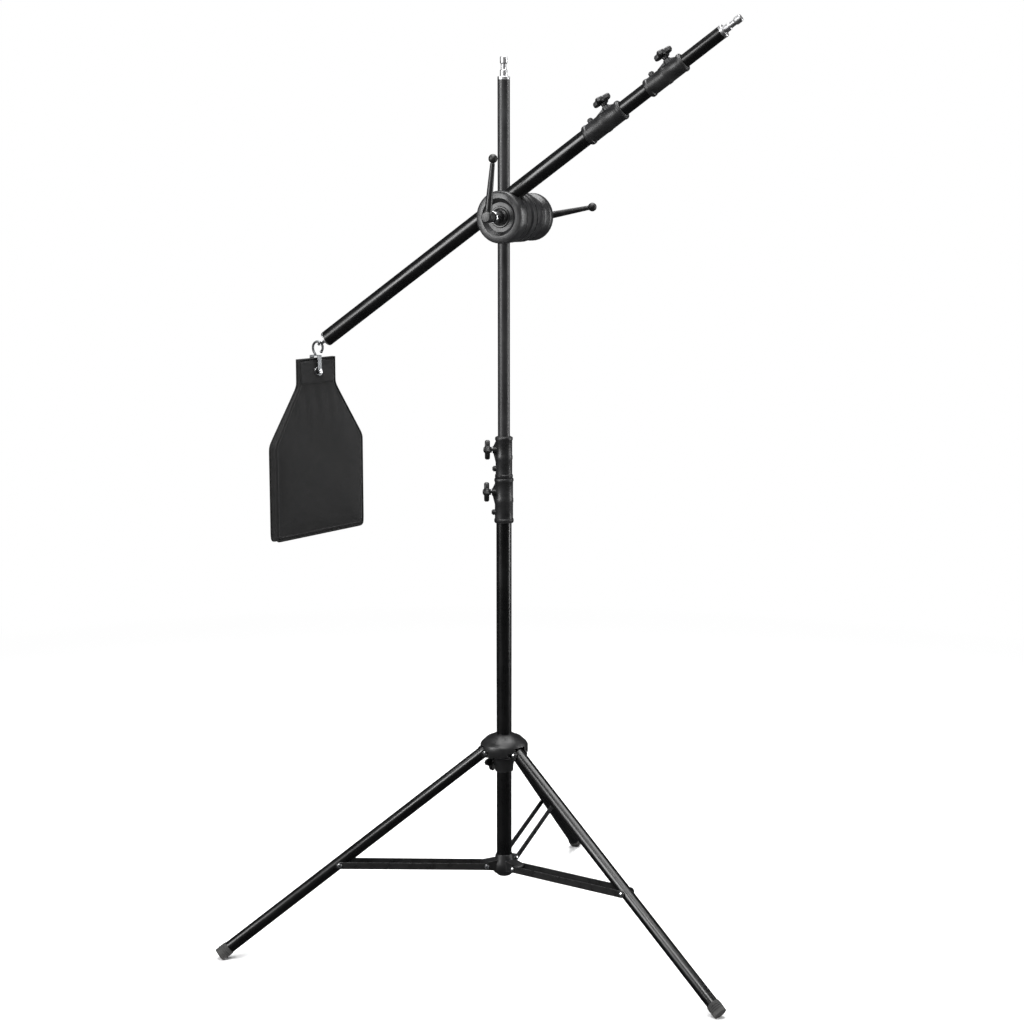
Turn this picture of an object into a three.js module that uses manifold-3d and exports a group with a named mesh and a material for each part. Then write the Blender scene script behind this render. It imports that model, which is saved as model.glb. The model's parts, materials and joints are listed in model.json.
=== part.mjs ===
// A telescoping light stand with a clamp-on boom arm and a counterweight bag.
// Units are millimetres and +Z is up. The stand is modelled about its column axis,
// then moved so that the middle of its footprint is the origin.
import * as THREE from "three";
import Module from "manifold-3d";
import { mergeVertices } from "three/addons/utils/BufferGeometryUtils.js";

const wasm = await Module();
wasm.setup();

// ---------------------------------------------------------------- driving sizes

// Fits
const gap = 0.3;                 // between pieces that touch or turn in each other
const tubeWall = 1.3;            // wall of every telescoping tube
const tubeClearance = 0.5;       // radial room between a tube and the next one inside
const tubeStep = 2 * (tubeWall + tubeClearance);

// Column
const columnDia = 33.5;          // lower tube
const columnBelowHub = 0.6;      // lower tube showing under the hub
const lowerTubeTop = 1026;
const lowerCollarSeat = 83;      // lower tube held inside its collar
const lowerCollarLength = 97;
const upperCollarLength = 90;
const upperTubeTop = 1888;
const upperTubeInside = 185.9;   // length held in the middle tube
const middleTubeLift = 84.9;     // its lower end above the lower tube's
const spigotDia = 16;
const spigotLength = 41;
const spigotRing = 7;

// Tripod
const legAngles = { left: 193.5, back: 73.5, right: 313.5 };
const legDia = 26.5;
const legWall = 1.6;
const crownPinReach = 30.25;     // from the lower tube's wall
const crownPinHeight = 429;
const crownRim = 6;              // crown beyond its pins
const crownAbovePin = 39;
const crownBelowPin = 46;
const footRadius = 639;
const footEndHeight = 9.6;
const footCapWall = 1.55;        // from the leg tube to the outside of the cap
const footCapLength = 27;
const footCapEnd = 6;            // solid rubber beyond the leg tube
const hubPinReach = 27.25;       // from the lower tube's wall
const hubPinHeight = 167;
const hubBelowPin = 19;
const hubAbovePin = 23;
const braceAttach = 402;         // along the leg, from the crown pin
const strapHeight = 15;
const strapThick = 2.5;
const strapRoom = 1.5;           // between a brace strap and the leg tube
const earThick = 3.2;
const pinDia = 6.4;

// Boom head
const headYaw = 28;              // the boom's right end comes forward by this much
const headHeight = 1602;         // height of the head's pivot bolt
const boltToColumn = 6.75;       // clamp metal between the bolt and the liner
const boltToBoom = 5.65;         // clamp metal between the bolt and the boom
const boomIncline = 33.95;
const boltDia = 12;
const drumWall = 8.55;           // clamp metal outside the farther tube
const shellWallFront = 12.45;    // from the boom to the front face
const shellWallRear = 4.95;      // from the boom to the friction disc
const columnWall = 3.55;         // from the liner to the friction disc
const waistWall = 8.25;          // from the liner to the waist behind it
const backDiscDepth = 57;
const backCupDepth = 30;
const leverReachFront = 46;      // lever beyond the front face
const leverReachBack = 47;       // lever beyond the rear face
const linerWall = 3;
const leverLength = 120;
const ballDia = 19;

// Boom
const boomDia = 34.5;            // outer tube
const boomStart = -522;          // outer tube's free end, from the clamp
const boomCollar1 = 251;         // lower end of the first collar, from the clamp
const boomCollar1Length = 94;
const boomMiddleShown = 68;      // middle tube between the two collars
const boomCollar2Length = 92;
const boomInnerShown = 96;       // inner tube beyond the second collar
const middleBoomLength = 640;
const innerBoomLength = 560;
const boomSpigotLength = 41;
const eyeReach = 28;             // boom end to the seat of the bag hook

// Counterweight bag
const bagYaw = -55;
const bagWidth = 306;
const bagThick = 46;
const bagNeckWidth = 128;
const bagNeckThick = 15;
const bagNeckHeight = 60;
const bagShoulderHeight = 127;
const bagBodyHeight = 215;
const hookRadius = 13;
const hookWireDia = 5.4;
const hookStrapWidth = 13;
const boltInFromEye = 10;        // bag bolt outside the eye's seat, along the boom
const eyeWireDia = 5;
const bagTopBelowEye = 30;
const bagBoltBelowEye = 60;
const strapGapInner = 20;        // room between the hook strap's cheeks

// Derived tube radii
const lowerR = columnDia / 2;
const middleR = lowerR - tubeStep / 2;
const upperR = middleR - tubeStep / 2;
const boomR = boomDia / 2;
const boomMidR = boomR - tubeStep / 2;
const boomInnerR = boomMidR - tubeStep / 2;
const legR = legDia / 2;
const pinR = pinDia / 2;
const strapSpacing = legDia + 2 * strapRoom + strapThick;
const slotHalf = (strapSpacing - strapThick) / 2 - 0.75;

// Derived places
const lowerCollarBase = lowerTubeTop - lowerCollarSeat;
const lowerCollarTop = lowerCollarBase + lowerCollarLength;
const upperCollarBase = lowerCollarTop + gap;
const middleTubeTop = upperCollarBase + upperCollarLength * 0.84;
const hubBottom = hubPinHeight - hubBelowPin;
const hubTop = hubPinHeight + hubAbovePin;
const columnBottom = hubBottom - columnBelowHub;
const crownPinRadius = lowerR + crownPinReach;
const crownRadius = crownPinRadius + crownRim;
const crownTop = crownPinHeight + crownAbovePin;
const crownBottom = crownPinHeight - crownBelowPin;
const hubPinRadius = lowerR + hubPinReach;
const linerR = upperR + gap + linerWall;
const columnOffset = upperR + linerWall + boltDia / 2 + boltToColumn;
const boomOffset = boomR + boltDia / 2 + boltToBoom;
const drumRadius = Math.max(columnOffset + linerR, boomOffset + boomR) + gap + drumWall;
const splitHalf = 0.5;           // half the slot between two clamp shells
const discThick = 4.6;
const clampStart = -(linerR + gap + columnWall);
const discStart = clampStart - gap - discThick;
const rearShellDepth = boomR + gap + shellWallRear - splitHalf;
const boomPlane = discStart - gap - rearShellDepth - splitHalf;
const frontFace = boomPlane - boomR - gap - shellWallFront;
const clampEnd = linerR + gap + waistWall;
const backDiscEnd = clampEnd + backDiscDepth;
const boomCollar2 = boomCollar1 + boomCollar1Length + boomMiddleShown;
const boomInnerEnd = boomCollar2 + boomCollar2Length + boomInnerShown;

// ---------------------------------------------------------------- materials

function paint(color, roughness, metalness) {
  return new THREE.MeshStandardMaterial({ color, roughness, metalness });
}

const mats = {
  tube: paint(0x0b0b0c, 0.22, 0.35),
  casting: paint(0x1f1f21, 0.42, 0.25),
  moulding: paint(0x121213, 0.45, 0.0),
  rubber: paint(0x0a0a0a, 0.8, 0.0),
  steel: paint(0xc4c6c8, 0.28, 1.0),
  aluminium: paint(0xd2d4d6, 0.35, 1.0),
  liner: paint(0x17171a, 0.55, 0.0),
  fabric: paint(0x26272a, 0.92, 0.0),
};

// ---------------------------------------------------------------- solid helpers

// Bare, welded and outward-facing copy of a geometry.
function closed(geometry) {
  const g = geometry.clone();
  for (const key of Object.keys(g.attributes)) {
    if (key !== "position") g.deleteAttribute(key);
  }
  const welded = mergeVertices(g, 1e-4);
  const p = welded.attributes.position.array;
  let index = Array.from(welded.index.array);
  const kept = [];
  for (let i = 0; i < index.length; i += 3) {
    const [a, b, c] = [index[i], index[i + 1], index[i + 2]];
    if (a !== b && b !== c && c !== a) kept.push(a, b, c);
  }
  index = kept;
  let volume = 0;
  for (let i = 0; i < index.length; i += 3) {
    const [a, b, c] = [index[i] * 3, index[i + 1] * 3, index[i + 2] * 3];
    volume += p[a] * (p[b + 1] * p[c + 2] - p[b + 2] * p[c + 1]);
    volume -= p[a + 1] * (p[b] * p[c + 2] - p[b + 2] * p[c]);
    volume += p[a + 2] * (p[b] * p[c + 1] - p[b + 1] * p[c]);
  }
  if (volume < 0) {
    for (let i = 0; i < index.length; i += 3) {
      const swap = index[i + 1];
      index[i + 1] = index[i + 2];
      index[i + 2] = swap;
    }
  }
  const out = new THREE.BufferGeometry();
  out.setAttribute("position", new THREE.BufferAttribute(new Float32Array(p), 3));
  out.setIndex(index);
  return out;
}

function toManifold(geometry) {
  const g = closed(geometry);
  return new wasm.Manifold(new wasm.Mesh({
    numProp: 3,
    vertProperties: new Float32Array(g.attributes.position.array),
    triVerts: new Uint32Array(g.index.array),
  }));
}

function fromManifold(solid) {
  const mesh = solid.getMesh();
  const out = new THREE.BufferGeometry();
  const xyz = new Float32Array(mesh.vertProperties);
  out.setAttribute("position", new THREE.BufferAttribute(xyz, 3));
  out.setIndex(Array.from(mesh.triVerts));
  return out;
}

function join(first, ...others) {
  let solid = toManifold(first);
  for (const other of others) solid = solid.add(toManifold(other));
  return fromManifold(solid);
}

function cut(first, ...tools) {
  let solid = toManifold(first);
  for (const tool of tools) solid = solid.subtract(toManifold(tool));
  return fromManifold(solid);
}

// Solid of revolution about +Z from [radius, height] pairs.
function turned(pairs, segments = 32) {
  const points = pairs.map(([r, z]) => new THREE.Vector2(r, z));
  return new THREE.LatheGeometry(points, segments).rotateX(Math.PI / 2);
}

function rod(radius, z0, z1, segments = 24) {
  return turned([[0, z0], [radius, z0], [radius, z1], [0, z1]], segments);
}

function pipe(inner, outer, z0, z1, segments = 32) {
  return turned([[inner, z0], [outer, z0], [outer, z1], [inner, z1], [inner, z0]], segments);
}

function block(x0, x1, y0, y1, z0, z1) {
  const g = new THREE.BoxGeometry(x1 - x0, y1 - y0, z1 - z0);
  return g.translate((x0 + x1) / 2, (y0 + y1) / 2, (z0 + z1) / 2);
}

// Flat plate with its outline in X-Z and its thickness from y0 to y1.
function plate(outline, y0, y1, curveSegments = 8) {
  const g = new THREE.ExtrudeGeometry(outline, {
    depth: y1 - y0, bevelEnabled: false, curveSegments,
  });
  return g.rotateX(Math.PI / 2).translate(0, y1, 0);
}

// Frame with its X, Y, Z axes along the given unit vectors.
function basis(x, y, z, origin) {
  return new THREE.Matrix4().makeBasis(x, y, z).setPosition(origin);
}

const up = new THREE.Vector3(0, 0, 1);

function degrees(a) {
  return (a * Math.PI) / 180;
}

function vec(x, y, z) {
  return new THREE.Vector3(x, y, z);
}

// Turns a solid built along +Z so that it runs along a direction from a point.
function aimed(geometry, origin, direction) {
  const q = new THREE.Quaternion().setFromUnitVectors(up, direction.clone().normalize());
  return geometry.clone().applyQuaternion(q).translate(origin.x, origin.y, origin.z);
}

function inFrame(geometry, frame) {
  return geometry.clone().applyMatrix4(frame);
}

// ---------------------------------------------------------------- frames

// Radial frame of a leg: X outward, Y sideways, Z up.
function legFrame(name) {
  const a = degrees(legAngles[name]);
  const out = vec(Math.cos(a), Math.sin(a), 0);
  return basis(out, vec(-out.y, out.x, 0), up, vec(0, 0, 0));
}

const yaw = degrees(headYaw);
const tilt = degrees(boomIncline);
const across = vec(Math.cos(yaw), -Math.sin(yaw), 0);
const away = vec(Math.sin(yaw), Math.cos(yaw), 0);
const headFrame = basis(across, away, up, vec(0, 0, 0));

// Boom frame: X along the boom to its raised end, Y away, Z square to it and up.
const boomAlong = across.clone().multiplyScalar(Math.cos(tilt)).addScaledVector(up, Math.sin(tilt));
const boomUp = across.clone().multiplyScalar(-Math.sin(tilt)).addScaledVector(up, Math.cos(tilt));
const pivot = across.clone().multiplyScalar(columnOffset).setZ(headHeight);
const boomOrigin = pivot.clone().addScaledVector(away, boomPlane)
  .addScaledVector(boomUp, boomOffset);
const boomFrame = basis(boomAlong, away, boomUp, boomOrigin);
const eyeSeat = boomOrigin.clone().addScaledVector(boomAlong, boomStart - eyeReach);

const bagTurn = degrees(bagYaw);
const bagAcross = vec(Math.cos(bagTurn), -Math.sin(bagTurn), 0);
const bagAway = vec(Math.sin(bagTurn), Math.cos(bagTurn), 0);
const bagOrigin = eyeSeat.clone().addScaledVector(across, -boltInFromEye);
const bagFrame = basis(bagAcross, bagAway, up, bagOrigin);

// ---------------------------------------------------------------- shared pieces

// Telescoping collar along +Z: a sleeve on its own tube, then a throat for the
// tube that slides, a side boss for the clamp screw and a bump for the fixing
// screw. The boss points along +X.
function collar(ownR, slideR, length, seatLength) {
  const ownBore = ownR + gap;
  const throat = slideR + gap;
  const o = ownR;
  const body = turned([
    [ownBore, 0], [o + 3.6, 0], [o + 4.6, 1.5], [o + 4.6, 7], [o + 3.2, 9],
    [o + 3.2, length * 0.44], [o + 4.0, length * 0.46], [o + 4.0, length * 0.54],
    [o + 3.2, length * 0.56], [o + 3.2, length - 8], [o + 4.4, length - 6],
    [o + 4.4, length - 1.5], [o + 3.4, length], [throat, length],
    [throat, seatLength + gap], [ownBore, seatLength + gap], [ownBore, 0],
  ], 20);
  const bossZ = length * 0.69;
  const boss = aimed(rod(8.2, o + 0.9, o + 9.5, 14), vec(0, 0, bossZ), vec(1, 0, 0));
  const web = plate(new THREE.Shape([
    new THREE.Vector2(o + 0.9, bossZ - 26), new THREE.Vector2(o + 3.4, bossZ - 26),
    new THREE.Vector2(o + 8.5, bossZ - 6), new THREE.Vector2(o + 8.5, bossZ + 6),
    new THREE.Vector2(o + 3.4, bossZ + 17), new THREE.Vector2(o + 0.9, bossZ + 17),
  ]), -4.2, 4.2);
  const bump = aimed(rod(6.2, o + 0.9, o + 8, 12), vec(0, 0, length * 0.23), vec(1, 0, 0));
  const bore = aimed(rod(3 + gap, 0, o + 20, 10), vec(0, 0, bossZ), vec(1, 0, 0));
  return cut(join(body, boss, web, bump), bore);
}

// Clamp screw with a four-lobed head, along +X, its tip just clear of a tube.
function lobedKnob(tubeR, headAt) {
  const shape = new THREE.Shape();
  const steps = 28;
  for (let i = 0; i < steps; i += 1) {
    const a = (i / steps) * Math.PI * 2;
    const r = 14.6 + 4.6 * Math.cos(4 * a);
    if (i === 0) shape.moveTo(r * Math.cos(a), r * Math.sin(a));
    else shape.lineTo(r * Math.cos(a), r * Math.sin(a));
  }
  shape.closePath();
  const head = new THREE.ExtrudeGeometry(shape, {
    depth: 6, bevelEnabled: true, bevelThickness: 2.4, bevelSize: 2, bevelSegments: 1,
  }).translate(0, 0, headAt - 3);
  const stem = turned([
    [0, tubeR + gap], [3, tubeR + gap], [3, tubeR + 11.5], [6.2, tubeR + 11.5],
    [7.4, headAt - 3], [7.4, headAt + 6], [4.5, headAt + 7.6], [0, headAt + 7.6],
  ], 12);
  return aimed(join(head, stem), vec(0, 0, 0), vec(1, 0, 0));
}

// Spigot along +Z: plug in the tube, bright ring, waisted stud.
function spigot(tubeR, length) {
  const r = spigotDia / 2;
  const plug = tubeR - tubeWall - gap;
  return turned([
    [0, -28], [plug, -28], [plug, gap], [tubeR + 0.3, gap],
    [tubeR + 0.3, spigotRing - 1], [tubeR - 0.7, spigotRing], [r, spigotRing],
    [r, spigotRing + length * 0.3], [r - 1.8, spigotRing + length * 0.36],
    [r - 1.8, spigotRing + length * 0.62], [r, spigotRing + length * 0.68],
    [r, spigotRing + length - 1.2], [r - 1.2, spigotRing + length],
    [0, spigotRing + length],
  ], 18);
}

// Headed pin across a joint, along +Y, with domed heads outside the given width.
function rivet(halfWidth) {
  const h = halfWidth + gap;
  return turned([
    [0, -h - 2.6], [3, -h - 2.3], [5.4, -h - 0.6], [5.4, -h], [pinR, -h],
    [pinR, h], [5.4, h], [5.4, h + 0.6], [3, h + 2.3], [0, h + 2.6],
  ], 10).rotateX(-Math.PI / 2);
}

const group = new THREE.Group();

function add(name, geometry, material) {
  const mesh = new THREE.Mesh(closed(geometry), material);
  mesh.name = name;
  group.add(mesh);
}

// ---------------------------------------------------------------- column

const knobTurn = degrees(184);

function addColumn() {
  const tubeAt = (r, z0, z1) => pipe(r - tubeWall, r, z0, z1, 28);
  add("lower_tube", tubeAt(lowerR, columnBottom, lowerTubeTop), mats.tube);
  add("middle_tube", tubeAt(middleR, columnBottom + middleTubeLift, middleTubeTop), mats.tube);
  add("upper_tube", tubeAt(upperR, middleTubeTop - upperTubeInside, upperTubeTop), mats.tube);
  const seat = lowerTubeTop - lowerCollarBase;
  const low = collar(lowerR, middleR, lowerCollarLength, seat);
  add("lower_collar", low.rotateZ(knobTurn).translate(0, 0, lowerCollarBase), mats.moulding);
  const high = collar(middleR, upperR, upperCollarLength, middleTubeTop - upperCollarBase);
  add("upper_collar", high.rotateZ(knobTurn).translate(0, 0, upperCollarBase), mats.moulding);
  const lowKnob = lobedKnob(lowerR, lowerR + 21).rotateZ(knobTurn);
  const lowKnobZ = lowerCollarBase + lowerCollarLength * 0.69;
  add("lower_collar_knob", lowKnob.translate(0, 0, lowKnobZ), mats.moulding);
  const highKnob = lobedKnob(middleR, middleR + 21).rotateZ(knobTurn);
  const highKnobZ = upperCollarBase + upperCollarLength * 0.69;
  add("upper_collar_knob", highKnob.translate(0, 0, highKnobZ), mats.moulding);
  add("column_spigot", spigot(upperR, spigotLength).translate(0, 0, upperTubeTop), mats.aluminium);
  const plugR = lowerR - tubeWall - gap;
  add("base_plug", turned([
    [0, columnBottom - 6], [lowerR - 2, columnBottom - 6], [lowerR + 0.6, columnBottom - 3.5],
    [lowerR + 0.6, columnBottom - gap], [plugR, columnBottom - gap], [plugR, columnBottom + 16],
    [0, columnBottom + 16],
  ], 24), mats.moulding);
}

// ---------------------------------------------------------------- tripod

const legRun = footRadius - crownPinRadius;
const legDrop = crownPinHeight - footEndHeight;
const legLength = Math.hypot(legRun, legDrop);
const legDir = vec(legRun / legLength, 0, -legDrop / legLength);
const attach = vec(crownPinRadius, 0, crownPinHeight).addScaledVector(legDir, braceAttach);
const braceRun = attach.x - hubPinRadius;
const braceRise = attach.z - hubPinHeight;
const braceLength = Math.hypot(braceRun, braceRise);
const braceAngle = Math.atan2(braceRise, braceRun);

function crossHole(radius, x, z, half) {
  return rod(radius, -half, half, 12).rotateX(Math.PI / 2).translate(x, 0, z);
}

// Cheek of a fork: a plate with a round nose about the pin.
function earShape(x0, z0, x1, z1, noseR) {
  const s = new THREE.Shape();
  s.moveTo(x0, z0 - noseR);
  s.lineTo(x1, z1 - noseR);
  s.absarc(x1, z1, noseR, -Math.PI / 2, Math.PI / 2, false);
  s.lineTo(x0, z0 + noseR + 6);
  s.closePath();
  return s;
}

function addCrown() {
  const bore = lowerR + 0.4;
  const body = turned([
    [bore, crownBottom], [lowerR + 3.4, crownBottom], [lowerR + 4.4, crownBottom + 14],
    [lowerR + 8, crownBottom + 27], [lowerR + 13.25, crownBottom + 33],
    [lowerR + 25, crownBottom + 38],
    [crownRadius - 2, crownBottom + 41], [crownRadius, crownBottom + 44],
    [crownRadius, crownBottom + 61], [crownRadius - 3, crownBottom + 66],
    [lowerR + 21.25, crownTop - 8], [lowerR + 7.25, crownTop - 2], [lowerR + 4.25, crownTop],
    [bore, crownTop],
    [bore, crownBottom],
  ], 28);
  const earMid = slotHalf + 0.3;
  const parts = [];
  const cuts = [];
  for (const name of Object.keys(legAngles)) {
    const frame = legFrame(name);
    const roof = crownPinHeight + legR + 2.6;
    const slot = block(crownPinRadius - legR - 2.2, 90, -earMid, earMid, crownBottom - 5, roof);
    cuts.push(inFrame(slot, frame));
    cuts.push(inFrame(crossHole(6.4, crownPinRadius, crownPinHeight, 30), frame));
    for (const side of [-1, 1]) {
      const y0 = side > 0 ? earMid : -earMid - earThick;
      const ear = plate(earShape(lowerR + 2, crownPinHeight - 5, crownPinRadius,
        crownPinHeight, 9.5), y0, y0 + earThick, 5);
      parts.push(inFrame(ear, frame));
    }
  }
  const knobDir = degrees((legAngles.left + legAngles.back) / 2);
  const knobAxis = vec(Math.cos(knobDir), Math.sin(knobDir), 0);
  const knobZ = crownBottom + 12;
  const boss = aimed(rod(8, lowerR + 1.5, lowerR + 10, 14), vec(0, 0, knobZ), knobAxis);
  let crown = cut(body, ...cuts);
  crown = join(crown, ...parts, boss);
  const holes = [aimed(rod(3 + gap, 0, lowerR + 20, 10), vec(0, 0, knobZ), knobAxis)];
  for (const name of Object.keys(legAngles)) {
    const hole = crossHole(pinR + gap, crownPinRadius, crownPinHeight, 24);
    holes.push(inFrame(hole, legFrame(name)));
  }
  holes.push(rod(bore, crownBottom - 5, crownTop + 5, 28));
  add("crown", cut(crown, ...holes), mats.casting);
  const knob = lobedKnob(lowerR, lowerR + 22).rotateZ(knobDir).translate(0, 0, knobZ);
  add("crown_knob", knob, mats.moulding);
  for (const name of Object.keys(legAngles)) {
    const pin = rivet(earMid + earThick).translate(crownPinRadius, 0, crownPinHeight);
    add(`leg_pin_${name}`, inFrame(pin, legFrame(name)), mats.steel);
  }
}

function addHub() {
  const body = turned([
    [lowerR + gap, hubBottom], [lowerR + 6, hubBottom], [lowerR + 8, hubBottom + 3],
    [lowerR + 8, hubTop - 20], [lowerR + 5, hubTop - 14], [lowerR + 3, hubTop - 3],
    [lowerR + 1.8, hubTop], [lowerR + gap, hubTop], [lowerR + gap, hubBottom],
  ], 24);
  const lugHalf = slotHalf - 0.4;
  const lugs = [];
  const holes = [rod(lowerR + gap, hubBottom - 5, hubTop + 5, 24)];
  for (const name of Object.keys(legAngles)) {
    const frame = legFrame(name);
    const lug = plate(earShape(lowerR + 2, hubPinHeight - 3, hubPinRadius, hubPinHeight, 9),
      -lugHalf, lugHalf, 5);
    lugs.push(inFrame(lug, frame));
    holes.push(inFrame(crossHole(pinR + gap, hubPinRadius, hubPinHeight, 24), frame));
  }
  add("spreader_hub", cut(join(body, ...lugs), ...holes), mats.casting);
  for (const name of Object.keys(legAngles)) {
    const pin = rivet(strapSpacing / 2 + strapThick / 2).translate(hubPinRadius, 0, hubPinHeight);
    add(`hub_pin_${name}`, inFrame(pin, legFrame(name)), mats.steel);
  }
}

// Leg tube, closed and domed at the crown end, open where the foot plugs it.
function legTube() {
  const end = legLength - footCapEnd - gap;
  const inner = legR - legWall;
  const tube = turned([
    [0, -legR], [legR * 0.5, -legR * 0.92], [legR * 0.87, -legR * 0.6], [legR, -2],
    [legR, end], [inner, end], [inner, 14], [0, 14],
  ], 20);
  const pinHole = rod(pinR + gap, -legR - 5, legR + 5, 12).rotateX(Math.PI / 2);
  return cut(tube, pinHole);
}

// Rubber foot: a sleeve over the leg, a plug inside it and a solid square end.
function footCap() {
  const outer = legR + footCapWall;
  const start = legLength - footCapLength;
  const tubeEnd = legLength - footCapEnd;
  const plugR = legR - legWall - gap;
  return turned([
    [0, start + 2], [plugR, start + 2], [plugR, tubeEnd], [legR + gap, tubeEnd],
    [legR + gap, start], [outer - 0.8, start], [outer, start + 1],
    [outer, legLength - 1], [outer - 1, legLength], [0, legLength],
  ], 18);
}

function addLegs() {
  const ground = block(-1500, 1500, -1500, 1500, -60, 0);
  const base = vec(crownPinRadius, 0, crownPinHeight);
  const side = vec(0, 1, 0);
  const inward = new THREE.Vector3().crossVectors(side, legDir);
  const lie = basis(inward, side, legDir, base);
  for (const name of Object.keys(legAngles)) {
    const frame = legFrame(name);
    add(`leg_${name}`, inFrame(inFrame(legTube(), lie), frame), mats.tube);
    const cap = inFrame(inFrame(footCap(), lie), frame);
    add(`foot_${name}`, cut(cap, ground), mats.rubber);
  }
}

function strapShape() {
  const h = strapHeight / 2;
  const s = new THREE.Shape();
  s.absarc(0, 0, h, Math.PI / 2, (3 * Math.PI) / 2, false);
  s.absarc(braceLength, 0, h, -Math.PI / 2, Math.PI / 2, false);
  s.closePath();
  return s;
}

function addBraces() {
  const along = vec(Math.cos(braceAngle), 0, Math.sin(braceAngle));
  const lift = vec(-Math.sin(braceAngle), 0, Math.cos(braceAngle));
  const lie = basis(along, vec(0, 1, 0), lift, vec(hubPinRadius, 0, hubPinHeight));
  for (const name of Object.keys(legAngles)) {
    const frame = legFrame(name);
    for (const [tag, side] of [["a", -1], ["b", 1]]) {
      const mid = (side * strapSpacing) / 2;
      const flat = plate(strapShape(), mid - strapThick / 2, mid + strapThick / 2, 5);
      const strap = cut(flat, crossHole(pinR + gap, 0, 0, 30),
        crossHole(pinR + gap, braceLength, 0, 30));
      add(`brace_${name}_${tag}`, inFrame(inFrame(strap, lie), frame), mats.tube);
      const shank = strapThick / 2 - 0.4;
      const head = strapThick / 2 + gap;
      const stud = turned([
        [0, -shank], [pinR, -shank], [pinR, head], [5.4, head], [5.4, head + 0.6],
        [3, head + 2.3], [0, head + 2.6],
      ], 10).rotateX(side > 0 ? -Math.PI / 2 : Math.PI / 2).translate(braceLength, mid, 0);
      add(`brace_rivet_${name}_${tag}`, inFrame(inFrame(stud, lie), frame), mats.steel);
    }
  }
}

// ---------------------------------------------------------------- head

// Drum about the pivot bolt; its profile is [radius, depth] from depth y0.
function drum(pairs, y0, segments = 36) {
  const g = turned(pairs, segments).rotateX(-Math.PI / 2);
  return g.translate(columnOffset, y0, headHeight);
}

const boltBore = boltDia / 2 + gap + 0.1;

function addHead() {
  const R = drumRadius;
  const b = boltBore;
  const boomHole = inFrame(
    aimed(rod(boomR + gap, -R - 35, R + 35, 32), vec(0, 0, 0), vec(1, 0, 0)), boomFrame);
  const columnHole = rod(linerR + gap, headHeight - R - 35, headHeight + R + 35, 32);
  const frontDepth = boomPlane - splitHalf - frontFace;
  const front = drum([
    [b, 9], [R - 24, 9], [R - 17, 2], [R - 15.5, 0], [R - 6, 0], [R - 2, 1.8], [R, 6],
    [R, frontDepth - 2.5],
    [R - 2.5, frontDepth], [b, frontDepth], [b, 9],
  ], frontFace);
  add("boom_shell_front", cut(inFrame(front, headFrame), boomHole), mats.casting);
  const rear = drum([
    [b, 0], [R - 3.5, 0], [R - 1, 2.5], [R - 1, rearShellDepth - 5],
    [R - 5, rearShellDepth], [b, rearShellDepth], [b, 0],
  ], boomPlane + splitHalf);
  add("boom_shell_rear", cut(inFrame(rear, headFrame), boomHole), mats.casting);
  const disc = drum([
    [b, 0], [R - 10, 0], [R - 10, discThick], [b, discThick], [b, 0],
  ], discStart);
  add("friction_disc", inFrame(disc, headFrame), mats.liner);
  const depthA = -splitHalf - clampStart;
  const shellA = drum([
    [b, 0], [R - 6, 0], [R - 2, 4], [R - 2, depthA - 2.5], [R - 4.5, depthA], [b, depthA],
    [b, 0],
  ], clampStart);
  add("column_shell_front", cut(inFrame(shellA, headFrame), columnHole), mats.casting);
  const waist = clampEnd - splitHalf;
  const depthB = backDiscEnd - splitHalf;
  const shellB = drum([
    [b, 0], [R - 4.5, 0], [R - 2, 2.5], [R - 2, waist - 4], [R - 6, waist], [R - 9, waist + 1],
    [R - 9, waist + 3], [R - 6, waist + 5], [R - 8, waist + 14], [R - 11, waist + 23],
    [R - 10, waist + 31], [R - 5, waist + 37], [R - 4, waist + 40], [R - 4, depthB - 6],
    [R - 8, depthB], [R - 13, depthB], [R - 16, depthB - 4],
    [R - 18, depthB - backCupDepth], [b, depthB - backCupDepth], [b, 0],
  ], splitHalf);
  add("column_shell_rear", cut(inFrame(shellB, headFrame), columnHole), mats.casting);
  add("column_liner", cut(
    pipe(upperR + gap, linerR, headHeight - R + 4, headHeight + R - 4, 32),
    block(-60, 0, -1, 1, headHeight - R - 25, headHeight + R + 25).rotateZ(-yaw)), mats.liner);
}

const leverFrontPlane = frontFace - leverReachFront;
const leverBackPlane = backDiscEnd + leverReachBack;

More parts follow.
